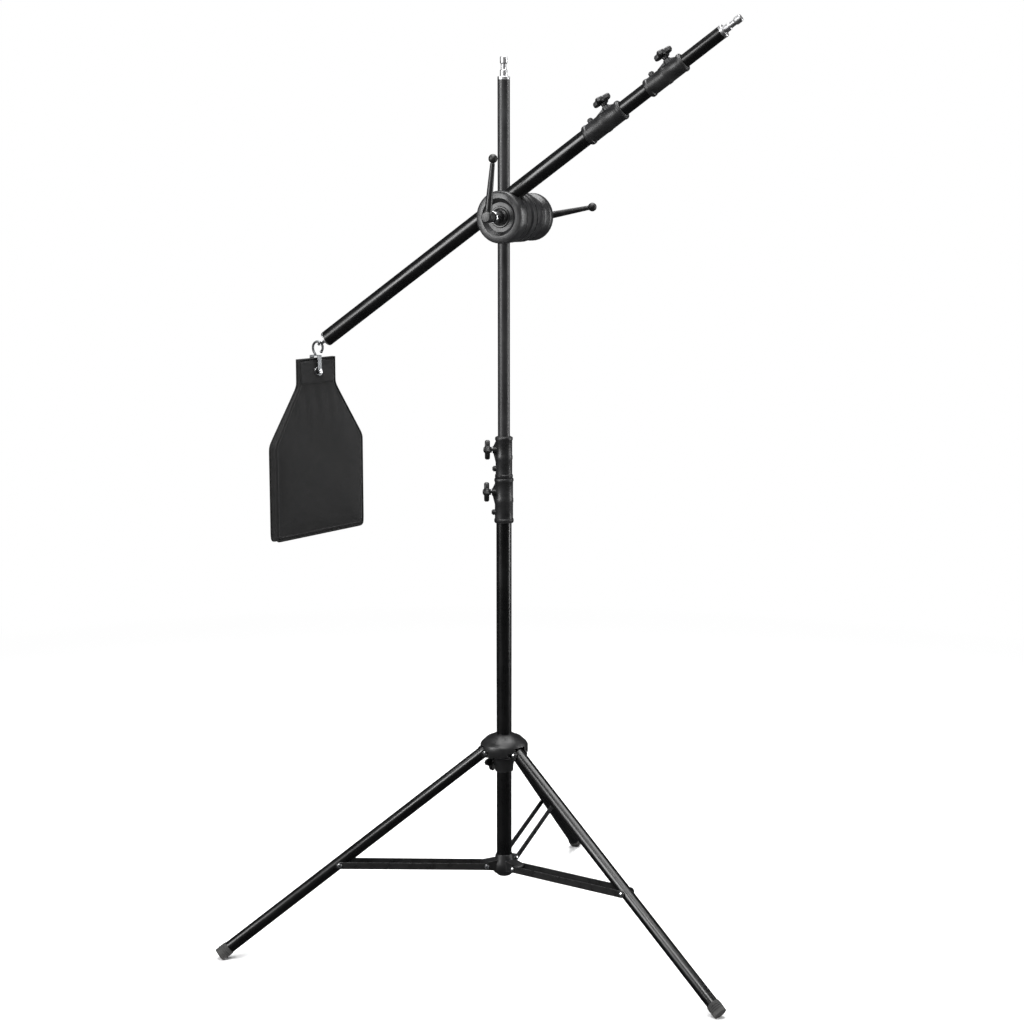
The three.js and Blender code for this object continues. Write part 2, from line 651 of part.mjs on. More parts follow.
function addBoltAndLevers() {
  const y0 = leverFrontPlane + 4;
  const y1 = leverBackPlane - 4;
  const bolt = rod(boltDia / 2, y0, y1, 18).rotateX(-Math.PI / 2);
  add("pivot_bolt", inFrame(bolt.translate(columnOffset, 0, headHeight), headFrame), mats.steel);
  const levers = [
    { tag: "front", plane: leverFrontPlane, floor: frontFace + 9, sign: -1, angle: 84 },
    { tag: "back", plane: leverBackPlane, floor: backDiscEnd - backCupDepth, sign: 1, angle: 10 },
  ];
  for (const { tag, plane, floor, sign, angle } of levers) {
    const reach = Math.abs(plane - floor) - gap;
    const inner = boltDia / 2 + gap;
    const hub = turned([
      [inner, 0], [17, 0], [17, 3], [13.5, 5], [10.8, 14], [10.2, reach - 14],
      [11.8, reach - 8], [11.8, reach + 7], [9.5, reach + 10], [0, reach + 11],
      [0, reach - 4 + gap], [inner, reach - 4 + gap], [inner, 0],
    ], 16).rotateX(sign > 0 ? -Math.PI / 2 : Math.PI / 2)
      .translate(0, floor + sign * gap, 0);
    const a = degrees(angle);
    const dir = vec(Math.cos(a), 0, Math.sin(a));
    const arm = turned([
      [0, 6], [8.6, 6], [7.6, 20], [4.9, leverLength - 9.4], [3.6, leverLength - 9.2],
      [3.6, leverLength + 1], [0, leverLength + 1],
    ], 12);
    const placedArm = aimed(arm, vec(0, plane, 0), dir);
    const bore = turned([
      [0, 0], [inner, 0], [inner, reach - 4 + gap], [0, reach - 4 + gap],
    ], 16).rotateX(sign > 0 ? -Math.PI / 2 : Math.PI / 2).translate(0, floor + sign * gap, 0);
    const lever = cut(join(hub, placedArm), bore);
    const at = lever.translate(columnOffset, 0, headHeight);
    add(`lever_${tag}`, inFrame(at, headFrame), mats.casting);
    const ball = cut(
      new THREE.SphereGeometry(ballDia / 2, 14, 9).rotateX(Math.PI / 2),
      rod(3.6 + gap, -ballDia, 1.4, 10));
    const ballAt = aimed(ball, vec(0, plane, 0).addScaledVector(dir, leverLength), dir);
    ballAt.translate(columnOffset, 0, headHeight);
    add(`lever_ball_${tag}`, inFrame(ballAt, headFrame), mats.moulding);
  }
}

// ---------------------------------------------------------------- boom

function addBoom() {
  const lieX = (g) => inFrame(aimed(g, vec(0, 0, 0), vec(1, 0, 0)), boomFrame);
  const tubeAt = (r, x0, x1) => lieX(pipe(r - tubeWall, r, x0, x1, 28));
  const outerEnd = boomCollar1 + boomCollar1Length * 0.86;
  const midEnd = boomCollar2 + boomCollar2Length * 0.86;
  add("boom_outer_tube", tubeAt(boomR, boomStart, outerEnd), mats.tube);
  add("boom_middle_tube", tubeAt(boomMidR, midEnd - middleBoomLength, midEnd), mats.tube);
  add("boom_inner_tube", tubeAt(boomInnerR, boomInnerEnd - innerBoomLength, boomInnerEnd),
    mats.tube);
  // A collar is built along +Z with its boss along +X; on the boom the boss is up.
  const lay = basis(vec(0, 0, 1), vec(0, -1, 0), vec(1, 0, 0), vec(0, 0, 0));
  const set = [
    { tag: "1", own: boomR, slides: boomMidR, at: boomCollar1, length: boomCollar1Length },
    { tag: "2", own: boomMidR, slides: boomInnerR, at: boomCollar2, length: boomCollar2Length },
  ];
  for (const { tag, own, slides, at, length } of set) {
    const c = collar(own, slides, length, length * 0.86);
    const placed = inFrame(inFrame(c, lay).translate(at, 0, 0), boomFrame);
    add(`boom_collar_${tag}`, placed, mats.moulding);
    const k = inFrame(lobedKnob(own, own + 24), lay).translate(at + length * 0.69, 0, 0);
    add(`boom_knob_${tag}`, inFrame(k, boomFrame), mats.moulding);
  }
  add("boom_spigot", lieX(spigot(boomInnerR, boomSpigotLength).translate(0, 0, boomInnerEnd)),
    mats.aluminium);
  const plugR = boomR - tubeWall - gap;
  const s = boomStart;
  add("boom_end_cap", lieX(turned([
    [3 + gap, s - 7.6], [6, s - 7.6], [6.6, s - 5], [boomR - 1.5, s - 5], [boomR, s - 4],
    [boomR, s - gap], [plugR, s - gap], [plugR, s + 20], [0, s + 20], [0, s + 10],
    [3 + gap, s + 10], [3 + gap, s - 7.6],
  ], 20)), mats.aluminium);
  const ringR = 8;
  const wire = eyeWireDia / 2;
  const centre = s - eyeReach + ringR;
  const ring = new THREE.TorusGeometry(ringR, wire, 8, 20).translate(centre, 0, 0);
  const shank = aimed(rod(3, centre + ringR - 1, s + 9.6, 12), vec(0, 0, 0), vec(1, 0, 0));
  add("boom_eye", inFrame(join(ring, shank), boomFrame), mats.steel);
}

// ---------------------------------------------------------------- hook and bag

// The hook is bent in the boom's upright plane: its arc passes over the far side
// of the eye, then the shank runs down to a strap that straddles the bag's neck.
function hookWire() {
  const r = hookRadius;
  const wireR = hookWireDia / 2;
  const hang = r - wireR - eyeWireDia / 2 - gap;
  const contact = degrees(60);
  const cx = -hang * Math.cos(contact);
  const cz = -hang * Math.sin(contact);
  const points = [];
  for (let a = -42; a <= 180; a += 18.5) {
    points.push(vec(cx + r * Math.cos(degrees(a)), 0, cz + r * Math.sin(degrees(a))));
  }
  const x = -boltInFromEye;
  points.push(vec(cx - r + 0.3, 0, cz - 5), vec(x - 4.4, 0, cz - 10.5),
    vec(x - 1.2, 0, cz - 15), vec(x, 0, cz - 19.5));
  const path = new THREE.CatmullRomCurve3(points, false, "centripetal");
  const circle = new THREE.Shape().absarc(0, 0, wireR, 0, Math.PI * 2, false);
  const wire = new THREE.ExtrudeGeometry(circle, {
    steps: 30, extrudePath: path, curveSegments: 4, bevelEnabled: false,
  });
  const tip = degrees(-46);
  const ball = new THREE.SphereGeometry(wireR + 0.9, 10, 7)
    .translate(cx + r * Math.cos(tip), 0, cz + r * Math.sin(tip));
  return join(wire, ball);
}

function addHookAndBag() {
  const hookFrame = basis(across, away, up, eyeSeat);
  const half = strapGapInner / 2;
  const t = 2.2;
  const top = -24;
  const w = hookStrapWidth / 2;
  const low = -bagBoltBelowEye - 3;
  const bridge = block(-w, w, -half - t, half + t, top - t, top);
  const cheeks = [];
  const outline = new THREE.Shape();
  outline.moveTo(-w, top);
  outline.lineTo(w, top);
  outline.lineTo(w, low);
  outline.absarc(0, low, w, 0, -Math.PI, true);
  outline.closePath();
  cheeks.push(plate(outline, -half - t, -half, 5));
  cheeks.push(plate(outline, half, half + t, 5));
  const strap = inFrame(join(bridge, ...cheeks), bagFrame);
  const hole = rod(3 + gap, -40, 40, 12).rotateX(Math.PI / 2).translate(0, 0, -bagBoltBelowEye);
  const hook = join(inFrame(hookWire(), hookFrame), strap);
  add("bag_hook", cut(hook, inFrame(hole, bagFrame)), mats.steel);
  const h = half + t + gap;
  const bolt = turned([
    [0, -h - 3.4], [4.8, -h - 3.4], [5.8, -h - 2.4], [5.8, -h], [3, -h], [3, h], [5.8, h],
    [5.8, h + 2.4], [4.8, h + 3.4], [0, h + 3.4],
  ], 12).rotateX(Math.PI / 2).translate(0, 0, -bagBoltBelowEye);
  add("bag_bolt", inFrame(bolt, bagFrame), mats.steel);
  add("counterweight_bag", bagSolid(), mats.fabric);
}

// A flat filled bag: narrow neck, sloped shoulders, square body, plump middle.
function bagSolid() {
  const total = bagNeckHeight + bagShoulderHeight + bagBodyHeight;
  const g = new THREE.BoxGeometry(1, 1, 1, 10, 2, 14);
  const p = g.attributes.position;
  const smooth = (v) => v * v * (3 - 2 * v);
  for (let i = 0; i < p.count; i += 1) {
    const u = p.getX(i) * 2;
    const side = p.getY(i) * 2;
    const down = (0.5 - p.getZ(i)) * total;
    let half = bagWidth / 2;
    if (down < bagNeckHeight) {
      half = bagNeckWidth / 2;
    } else if (down < bagNeckHeight + bagShoulderHeight) {
      const k = (down - bagNeckHeight) / bagShoulderHeight;
      half = (bagNeckWidth + (bagWidth - bagNeckWidth) * k) / 2;
    }
    const fillTop = Math.min(1, Math.max(0, (down - bagNeckHeight * 0.9) / 150));
    const fillEnd = Math.min(1, (total - down) / 45);
    const edge = Math.sqrt(Math.max(0, 1 - Math.pow(Math.abs(u), 4)));
    const plump = smooth(fillTop) * (0.35 + 0.65 * Math.sqrt(fillEnd)) * edge;
    const thick = bagNeckThick * 0.5 + (bagThick - bagNeckThick * 0.5) * plump;
    const neckThick = bagNeckThick * 0.7 + bagNeckThick * 0.3 * edge;
    const y = (side * Math.max(thick, down < 120 ? neckThick : thick)) / 2;
    p.setXYZ(i, u * half, y, -bagTopBelowEye - down);
  }
  const hole = rod(3.8, -40, 40, 12).rotateX(Math.PI / 2).translate(0, 0, -bagBoltBelowEye);
  return inFrame(cut(g, hole), bagFrame);
}

// ---------------------------------------------------------------- assembly

addColumn();
addCrown();
addHub();
addLegs();
addBraces();
addHead();
addBoltAndLevers();
addBoom();
addHookAndBag();

// The middle of the footprint becomes the origin, on the ground.
const bounds = new THREE.Box3().setFromObject(group);
const centre = bounds.getCenter(new THREE.Vector3());
for (const mesh of group.children) {
  mesh.geometry.translate(-centre.x, -centre.y, -bounds.min.z);
}

export default group;
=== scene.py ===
import json
import math
import bpy
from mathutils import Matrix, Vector
from mathutils.bvhtree import BVHTree

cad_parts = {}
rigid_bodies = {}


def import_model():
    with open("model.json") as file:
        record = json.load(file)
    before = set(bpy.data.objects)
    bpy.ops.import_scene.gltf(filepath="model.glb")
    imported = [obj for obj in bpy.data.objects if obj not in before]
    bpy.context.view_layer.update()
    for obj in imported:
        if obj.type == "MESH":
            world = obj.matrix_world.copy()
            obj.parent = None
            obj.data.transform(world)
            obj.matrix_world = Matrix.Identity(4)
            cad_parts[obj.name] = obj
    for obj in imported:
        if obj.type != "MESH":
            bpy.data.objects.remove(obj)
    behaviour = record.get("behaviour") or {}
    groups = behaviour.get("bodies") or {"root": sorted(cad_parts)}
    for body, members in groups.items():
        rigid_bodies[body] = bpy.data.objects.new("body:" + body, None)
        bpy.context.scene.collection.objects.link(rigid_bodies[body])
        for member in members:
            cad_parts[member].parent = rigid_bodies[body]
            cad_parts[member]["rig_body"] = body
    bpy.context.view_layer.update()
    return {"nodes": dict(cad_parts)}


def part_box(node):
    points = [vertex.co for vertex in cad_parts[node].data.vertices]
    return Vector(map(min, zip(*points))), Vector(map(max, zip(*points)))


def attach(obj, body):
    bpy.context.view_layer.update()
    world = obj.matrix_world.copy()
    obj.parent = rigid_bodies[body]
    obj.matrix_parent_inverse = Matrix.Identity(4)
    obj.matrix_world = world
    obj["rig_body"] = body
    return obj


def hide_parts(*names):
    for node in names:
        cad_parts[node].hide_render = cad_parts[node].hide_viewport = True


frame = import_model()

NODES = frame["nodes"]
MM = 0.001
UP = Vector((0, 0, 1))


def body_of(node):
    return NODES[node]["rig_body"]


def centre(node):
    lo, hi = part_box(node)
    return (lo + hi) / 2


# ---------------------------------------------------------------- sizes
# These repeat sizes of the CAD part that the frame does not give by itself.

COLUMN = centre("upper_tube")
COLUMN.z = 0
LEG_ANGLES = {"left": 193.5, "back": 73.5, "right": 313.5}
CROWN_PIN = (47 * MM, 429 * MM)  # radius and height of a leg's pin
FOOT_END = (639 * MM, 9.6 * MM)  # radius and height of a leg's lower end
FOOT_CAP_R = 14.8 * MM
FOOT_RIBS = (11.0, 15.5, 20.0)   # from the leg's lower end up the leg
KNOB_TURN = math.radians(184)
CROWN_KNOB_TURN = math.radians(133.5)
CROWN_KNOB_HEIGHT = 395 * MM
HEAD_YAW = math.radians(28)
BAG_YAW = math.radians(-55)
TILT = math.radians(33.95)
LOWER_R, MIDDLE_R, UPPER_R = 16.75 * MM, 14.95 * MM, 13.15 * MM
BOOM_R, BOOM_MID_R, BOOM_INNER_R = 17.25 * MM, 15.45 * MM, 13.65 * MM
BOOM_MIDDLE = 95.08 * MM         # from the outer tube's middle up to the clamp's axis
SCREW_AT, KNOB_AT = 0.23, 0.69   # places along a collar, as parts of its length
SCREW_SEAT = 8.0 * MM            # top of the screw's bump beyond the tube
COLUMN_KNOB_SEAT, BOOM_KNOB_SEAT, CROWN_KNOB_SEAT = 21 * MM, 24 * MM, 22 * MM
KNOB_FACE = 7.6 * MM             # outer face of a knob's hub beyond its seat
PIVOT_OUT, PIVOT_HEIGHT = 28.9 * MM, 1602 * MM
FRONT_FLOOR, BACK_FLOOR = -69 * MM, 52 * MM  # floors of the head's two dishes
EYE_DOWN_BOOM, EYE_OUT = 550 * MM, 10 * MM   # hook's eye from the clamp's axis
FACES = (("front", -1), ("back", 1))         # the bag's panels and their sides


# ---------------------------------------------------------------- mesh helpers

def new_object(name, verts, faces, smooth=True, uvs=None):
    mesh = bpy.data.meshes.new(name)
    mesh.from_pydata([tuple(v) for v in verts], [], faces)
    mesh.update()
    mesh.polygons.foreach_set("use_smooth", [smooth] * len(mesh.polygons))
    if uvs:
        layer = mesh.uv_layers.new(name="UVMap")
        for loop in mesh.loops:
            layer.data[loop.index].uv = uvs[loop.vertex_index]
    obj = bpy.data.objects.new(name, mesh)
    bpy.context.scene.collection.objects.link(obj)
    return obj


def loft(loops, closed=False, caps=True):
    """Vertices and faces of equal loops of points, joined in order."""
    n = len(loops[0])
    verts = [v for loop in loops for v in loop]
    faces = []
    count = len(loops)
    for i in range(count if closed else count - 1):
        a, b = i * n, ((i + 1) % count) * n
        for j in range(n):
            k = (j + 1) % n
            faces.append((a + j, a + k, b + k, b + j))
    if caps and not closed:
        faces.append(tuple(reversed(range(n))))
        faces.append(tuple((count - 1) * n + j for j in range(n)))
    return verts, faces


def circle(origin, x, y, radius, n):
    return [origin + x * (radius * math.cos(t)) + y * (radius * math.sin(t))
            for t in (2 * math.pi * j / n for j in range(n))]


def side_axes(axis):
    axis = axis.normalized()
    helper = UP if abs(axis.z) < 0.9 else Vector((1, 0, 0))
    x = helper.cross(axis).normalized()
    return x, axis.cross(x)


def lathe(name, origin, axis, profile, n=40, closed=False):
    """Turned piece; profile is (radius, height) in millimetres along the axis."""
    axis = axis.normalized()
    x, y = side_axes(axis)
    loops = [circle(origin + axis * (h * MM), x, y, max(r, 0.02) * MM, n) for r, h in profile]
    verts, faces = loft(loops, closed=closed, caps=not closed)
    return new_object(name, verts, faces)


def sweep(points, radius, sides=10):
    """Round tube along points, with its section carried on without twist."""
    before = points[:1] + points[:-1]
    after = points[1:] + points[-1:]
    tangents = [(b - a).normalized() for a, b in zip(before, after)]
    x, _ = side_axes(tangents[0])
    loops = []
    for point, t in zip(points, tangents):
        x = (x - t * x.dot(t)).normalized()
        loops.append(circle(point, x, t.cross(x), radius, sides))
    return loft(loops)


def merge(parts):
    verts, faces = [], []
    for v, f in parts:
        base = len(verts)
        verts.extend(v)
        faces.extend(tuple(base + k for k in face) for face in f)
    return verts, faces


WELD = 0.00002                   # split corners closer than this are one
SHARP_EDGE = math.radians(34)


def smooth_by_angle():
    """Geometry nodes that weld a node's split corners and smooth shallow edges."""
    tree = bpy.data.node_groups.new("smooth_by_angle", "GeometryNodeTree")
    tree.interface.new_socket("Geometry", in_out="INPUT", socket_type="NodeSocketGeometry")
    tree.interface.new_socket("Geometry", in_out="OUTPUT", socket_type="NodeSocketGeometry")
    add = tree.nodes.new
    source, sink = add("NodeGroupInput"), add("NodeGroupOutput")
    drop = add("GeometryNodeRemoveAttribute")
    drop.inputs["Name"].default_value = "custom_normal"
    weld = add("GeometryNodeMergeByDistance")
    weld.inputs["Distance"].default_value = WELD
    faces = add("GeometryNodeSetShadeSmooth")
    faces.domain = "FACE"
    edges = add("GeometryNodeSetShadeSmooth")
    edges.domain = "EDGE"
    edges.inputs["Shade Smooth"].default_value = False
    angle = add("GeometryNodeInputMeshEdgeAngle")
    sharp = add("FunctionNodeCompare")
    sharp.operation = "GREATER_THAN"
    sharp.inputs["B"].default_value = SHARP_EDGE
    link = tree.links.new
    link(source.outputs[0], drop.inputs["Geometry"])
    link(drop.outputs["Geometry"], weld.inputs["Geometry"])
    link(weld.outputs["Geometry"], faces.inputs["Geometry"])
    link(faces.outputs["Geometry"], edges.inputs["Geometry"])
    link(angle.outputs["Unsigned Angle"], sharp.inputs["A"])
    link(sharp.outputs["Result"], edges.inputs["Selection"])
    link(edges.outputs["Geometry"], sink.inputs[0])
    return tree


# ---------------------------------------------------------------- materials

class Shader:
    """Small builder for one procedural material."""

    def __init__(self, name):
        self.material = bpy.data.materials.new(name)
        self.material.use_nodes = True
        self.nodes = self.material.node_tree.nodes
        self.links = self.material.node_tree.links
        self.bsdf = self.nodes["Principled BSDF"]
        self.coords = self.nodes.new("ShaderNodeTexCoord")

    def put(self, kind, **values):
        node = self.nodes.new(kind)
        for key, value in values.items():
            if hasattr(node, key):
                setattr(node, key, value)
            else:
                node.inputs[key.replace("_", " ")].default_value = value
        return node

    def join(self, a, b):
        self.links.new(a, b)

    def space(self, scale=(1, 1, 1), source="Object", turn=(0, 0, 0)):
        mapping = self.put("ShaderNodeMapping")
        mapping.inputs["Scale"].default_value = scale
        mapping.inputs["Rotation"].default_value = turn
        self.join(self.coords.outputs[source], mapping.inputs["Vector"])
        return mapping.outputs["Vector"]

    def noise(self, scale, detail=3.0, rough=0.5, vector=None):
        node = self.put("ShaderNodeTexNoise", Scale=scale, Detail=detail, Roughness=rough)
        self.join(vector or self.space(), node.inputs["Vector"])
        return node.outputs["Fac"]

    def remap(self, value, low, high, out_low, out_high):
        node = self.put("ShaderNodeMapRange")
        for socket, number in zip(("From Min", "From Max", "To Min", "To Max"),
                                  (low, high, out_low, out_high)):
            node.inputs[socket].default_value = number
        self.join(value, node.inputs["Value"])
        return node.outputs["Result"]

    def math(self, operation, a, b):
        node = self.put("ShaderNodeMath", operation=operation)
        for socket, value in ((0, a), (1, b)):
            if isinstance(value, (int, float)):
                node.inputs[socket].default_value = value
            else:
                self.join(value, node.inputs[socket])
        return node.outputs[0]

    def mix(self, factor, a, b):
        node = self.put("ShaderNodeMix", data_type="RGBA")
        self.join(factor, node.inputs[0])
        for socket, value in ((6, a), (7, b)):
            if isinstance(value, tuple):
                node.inputs[socket].default_value = (*value, 1)
            else:
                self.join(value, node.inputs[socket])
        return node.outputs[2]

    def edge_mask(self, radius):
        """1 along sharp edges, from the rounded normal against the true one."""
        bevel = self.put("ShaderNodeBevel", samples=4)
        bevel.inputs["Radius"].default_value = radius
        geometry = self.put("ShaderNodeNewGeometry")
        dot = self.put("ShaderNodeVectorMath", operation="DOT_PRODUCT")
        self.join(bevel.outputs["Normal"], dot.inputs[0])
        self.join(geometry.outputs["Normal"], dot.inputs[1])
        return self.remap(self.math("SUBTRACT", 1.0, dot.outputs["Value"]), 0.01, 0.12, 0, 1)

    def bump(self, height, distance, strength=1.0, rounded=0.0):
        node = self.put("ShaderNodeBump")
        node.inputs["Distance"].default_value = distance
        node.inputs["Strength"].default_value = strength
        self.join(height, node.inputs["Height"])
        if rounded:
            bevel = self.put("ShaderNodeBevel", samples=4)
            bevel.inputs["Radius"].default_value = rounded
            self.join(bevel.outputs["Normal"], node.inputs["Normal"])
        self.join(node.outputs["Normal"], self.bsdf.inputs["Normal"])

    def colour(self, value):
        self.join(value, self.bsdf.inputs["Base Color"])

    def roughness(self, value):
        self.join(value, self.bsdf.inputs["Roughness"])

    def fixed(self, **values):
        for key, value in values.items():
            self.bsdf.inputs[key.replace("_", " ")].default_value = value


def gloss_tube(name, turn=(0, 0, 0), deep=0.0009, rough=0.2):
    """Gloss black enamel on drawn tube: faint drawing lines, orange peel, dust."""
    s = Shader(name)
    lines = s.noise(1.0, 2.0, 0.6, s.space((900, 900, 9), turn=turn))
    peel = s.noise(420, 2.0, 0.5)
    cloud = s.noise(14, 4.0, 0.6)
    dust = s.remap(s.noise(1600, 1.0, 0.5), 0.62, 0.8, 0, 1)
    base = s.mix(s.remap(cloud, 0.3, 0.7, 0, 1), (deep, deep, deep * 1.05),
                 (deep * 2.1, deep * 2.1, deep * 2.2))
    base = s.mix(s.math("MULTIPLY", dust, 0.1), base, (0.06, 0.06, 0.058))
    worn = s.math("MULTIPLY", s.edge_mask(0.0009), s.remap(s.noise(260), 0.5, 0.62, 0, 0.6))
    s.colour(s.mix(worn, base, (0.16, 0.16, 0.165)))
    s.roughness(s.math("ADD", s.remap(cloud, 0.3, 0.7, rough, rough + 0.11),
                       s.remap(lines, 0.3, 0.7, 0, 0.07)))
    height = s.math("ADD", s.math("MULTIPLY", peel, 0.6), s.math("MULTIPLY", lines, 0.4))
    s.bump(height, 0.00003, 0.15, rounded=0.0006)
    s.fixed(Specular_IOR_Level=0.4)
    return s.material


def cast_paint(name, dark, light, rough, grain=0.00011, wear=0.55):
    """Powder coat over a casting: pebbled skin, cloudy sheen, rubbed edges."""
    s = Shader(name)
    pebble = s.noise(2300, 3.0, 0.55)
    broad = s.noise(38, 5.0, 0.6)
    base = s.mix(s.remap(broad, 0.3, 0.7, 0, 1), dark, light)
    fleck = s.remap(s.noise(3100, 1.0), 0.63, 0.75, 0, 0.35)
    base = s.mix(fleck, base, tuple(min(1.0, c * 3.5) for c in light))
    worn = s.math("MULTIPLY", s.edge_mask(0.0012), s.remap(s.noise(190), 0.42, 0.6, 0, wear))
    s.colour(s.mix(worn, base, (0.2, 0.2, 0.205)))
    s.roughness(s.remap(s.math("ADD", broad, s.math("MULTIPLY", pebble, 0.5)),
                        0.55, 0.95, rough - 0.08, rough + 0.1))
    s.bump(pebble, grain, 0.8, rounded=0.0009)
    s.fixed(Metallic=0.0, IOR=1.5, Specular_IOR_Level=0.35)
    return s.material


def moulded(name, dark, light, rough):
    """Injection-moulded nylon: fine leather grain, flow marks, rubbed corners."""
    s = Shader(name)
    cells = s.put("ShaderNodeTexVoronoi", Scale=1150.0, feature="SMOOTH_F1")
    s.join(s.space(), cells.inputs["Vector"])
    flow = s.noise(24, 4.0, 0.65, s.space((1, 1, 2.6)))
    base = s.mix(s.remap(flow, 0.3, 0.7, 0, 1), dark, light)
    worn = s.math("MULTIPLY", s.edge_mask(0.001), s.remap(s.noise(240), 0.45, 0.62, 0, 0.4))
    s.colour(s.mix(worn, base, (0.1, 0.1, 0.1)))
    s.roughness(s.remap(flow, 0.3, 0.7, rough - 0.07, rough + 0.09))
    s.bump(cells.outputs["Distance"], 0.00012, 0.6, rounded=0.0008)
    s.fixed(IOR=1.48, Specular_IOR_Level=0.38)
    return s.material


def bright_metal(name, tint, rough, turn_scale):
    """Turned or drawn bright metal: tool lines, faint tarnish, small dents."""
    s = Shader(name)
    tool = s.noise(1.0, 3.0, 0.6, s.space(turn_scale))
    tarnish = s.noise(60, 5.0, 0.65)
    s.colour(s.mix(s.remap(tarnish, 0.35, 0.7, 0, 1), tint, tuple(c * 0.72 for c in tint)))
    s.roughness(s.math("ADD", s.remap(tool, 0.3, 0.7, rough - 0.06, rough + 0.08),
                       s.remap(tarnish, 0.5, 0.75, 0, 0.12)))
    s.bump(tool, 0.00002, 0.5, rounded=0.0004)
    s.fixed(Metallic=1.0)
    return s.material


def rubber(name):
    """Black rubber: chalky, pitted, dusty towards the ground."""
    s = Shader(name)
    pits = s.noise(1500, 4.0, 0.7)
    bloom = s.noise(55, 5.0, 0.65)
    split = s.put("ShaderNodeSeparateXYZ")
    s.join(s.coords.outputs["Object"], split.inputs[0])
    low = s.remap(split.outputs["Z"], 0.0, 0.03, 1, 0)
    base = s.mix(s.remap(bloom, 0.3, 0.75, 0, 1), (0.011, 0.011, 0.011), (0.03, 0.03, 0.029))
    dusty = s.math("MULTIPLY", low, s.remap(bloom, 0.4, 0.65, 0.1, 0.7))
    s.colour(s.mix(dusty, base, (0.11, 0.105, 0.1)))
    s.roughness(s.remap(bloom, 0.3, 0.7, 0.66, 0.86))
    s.bump(pits, 0.00018, 0.7, rounded=0.0008)
    s.fixed(IOR=1.45)
    return s.material


def weave(name, dark, light, pitch, rough=0.82, strength=0.9, sheen=0.35, source="UV",
          face=None):
    """Plain-woven nylon in metres of cloth: yarns over and under with painted shade between
    them, slubs, fading.

    face, if given, is the panels' normal: cloth that faces away from it, as the gusset
    does, gets painted shade: a darker colour.
    """
    s = Shader(name)
    split = s.put("ShaderNodeSeparateXYZ")
    s.join(s.coords.outputs[source], split.inputs[0])
    turns = 2 * math.pi / pitch
    warp = s.math("SINE", s.math("MULTIPLY", split.outputs["X"], turns), 0)
    weft = s.math("SINE", s.math("MULTIPLY", split.outputs["Y"], turns), 0)
    check = s.math("MULTIPLY", warp, weft)
    warp_ridge = s.math("ABSOLUTE", warp, 0)
    weft_ridge = s.math("ABSOLUTE", weft, 0)
    over = s.remap(check, -0.25, 0.25, 0, 1)
    under = s.math("SUBTRACT", 1.0, over)
    height = s.math("ADD", s.math("MULTIPLY", over, warp_ridge),
                    s.math("MULTIPLY", under, weft_ridge))
    slub_x = s.noise(1.0, 2.0, 0.5, s.space((18, 700, 1), source))
    slub_y = s.noise(1.0, 2.0, 0.5, s.space((700, 18, 1), source))
    fade = s.noise(9, 5.0, 0.6, s.space((1, 1, 1), "Object"))
    tone = s.math("ADD", s.math("MULTIPLY", s.math("ADD", slub_x, slub_y), 0.35),
                  s.math("MULTIPLY", fade, 0.6))
    base = s.mix(s.remap(tone, 0.48, 0.82, 0, 1), dark, light)
    # Painted shade: the colour darkens where the yarns dip under the crossing yarns.
    shade = s.remap(height, 0.0, 0.9, 0.45, 1.05)
    deep = s.mix(shade, tuple(c * 0.35 for c in dark), base)
    # Painted shade: cloth turned away from the panels, the gussets, gets a much darker colour.
    if face is not None:
        shade_facing = s.put("ShaderNodeVectorMath", operation="DOT_PRODUCT")
        s.join(s.coords.outputs["Normal"], shade_facing.inputs[0])
        shade_facing.inputs[1].default_value = face
        square = s.math("ABSOLUTE", shade_facing.outputs["Value"], 0)
        deep = s.mix(s.remap(square, 0.35, 0.7, 0, 1), tuple(c * 0.18 for c in dark), deep)
    s.colour(deep)
    s.roughness(s.remap(fade, 0.3, 0.7, rough - 0.07, rough + 0.07))
    total = s.math("ADD", height, s.math("MULTIPLY", s.math("ADD", slub_x, slub_y), 0.5))
    s.bump(total, pitch * 0.28, strength)
    s.fixed(Sheen_Weight=sheen, Sheen_Roughness=0.45, IOR=1.4, Specular_IOR_Level=0.35)
    return s.material


def thread(name, tone):
    """Twisted sewing thread."""
    s = Shader(name)
    twist = s.noise(2600, 2.0, 0.6)
    s.colour(s.mix(s.remap(twist, 0.35, 0.65, 0, 1), tuple(c * 0.55 for c in tone), tone))
    s.roughness(s.remap(twist, 0.3, 0.7, 0.5, 0.72))
    s.bump(twist, 0.00012, 0.7)
    s.fixed(Sheen_Weight=0.3)
    return s.material


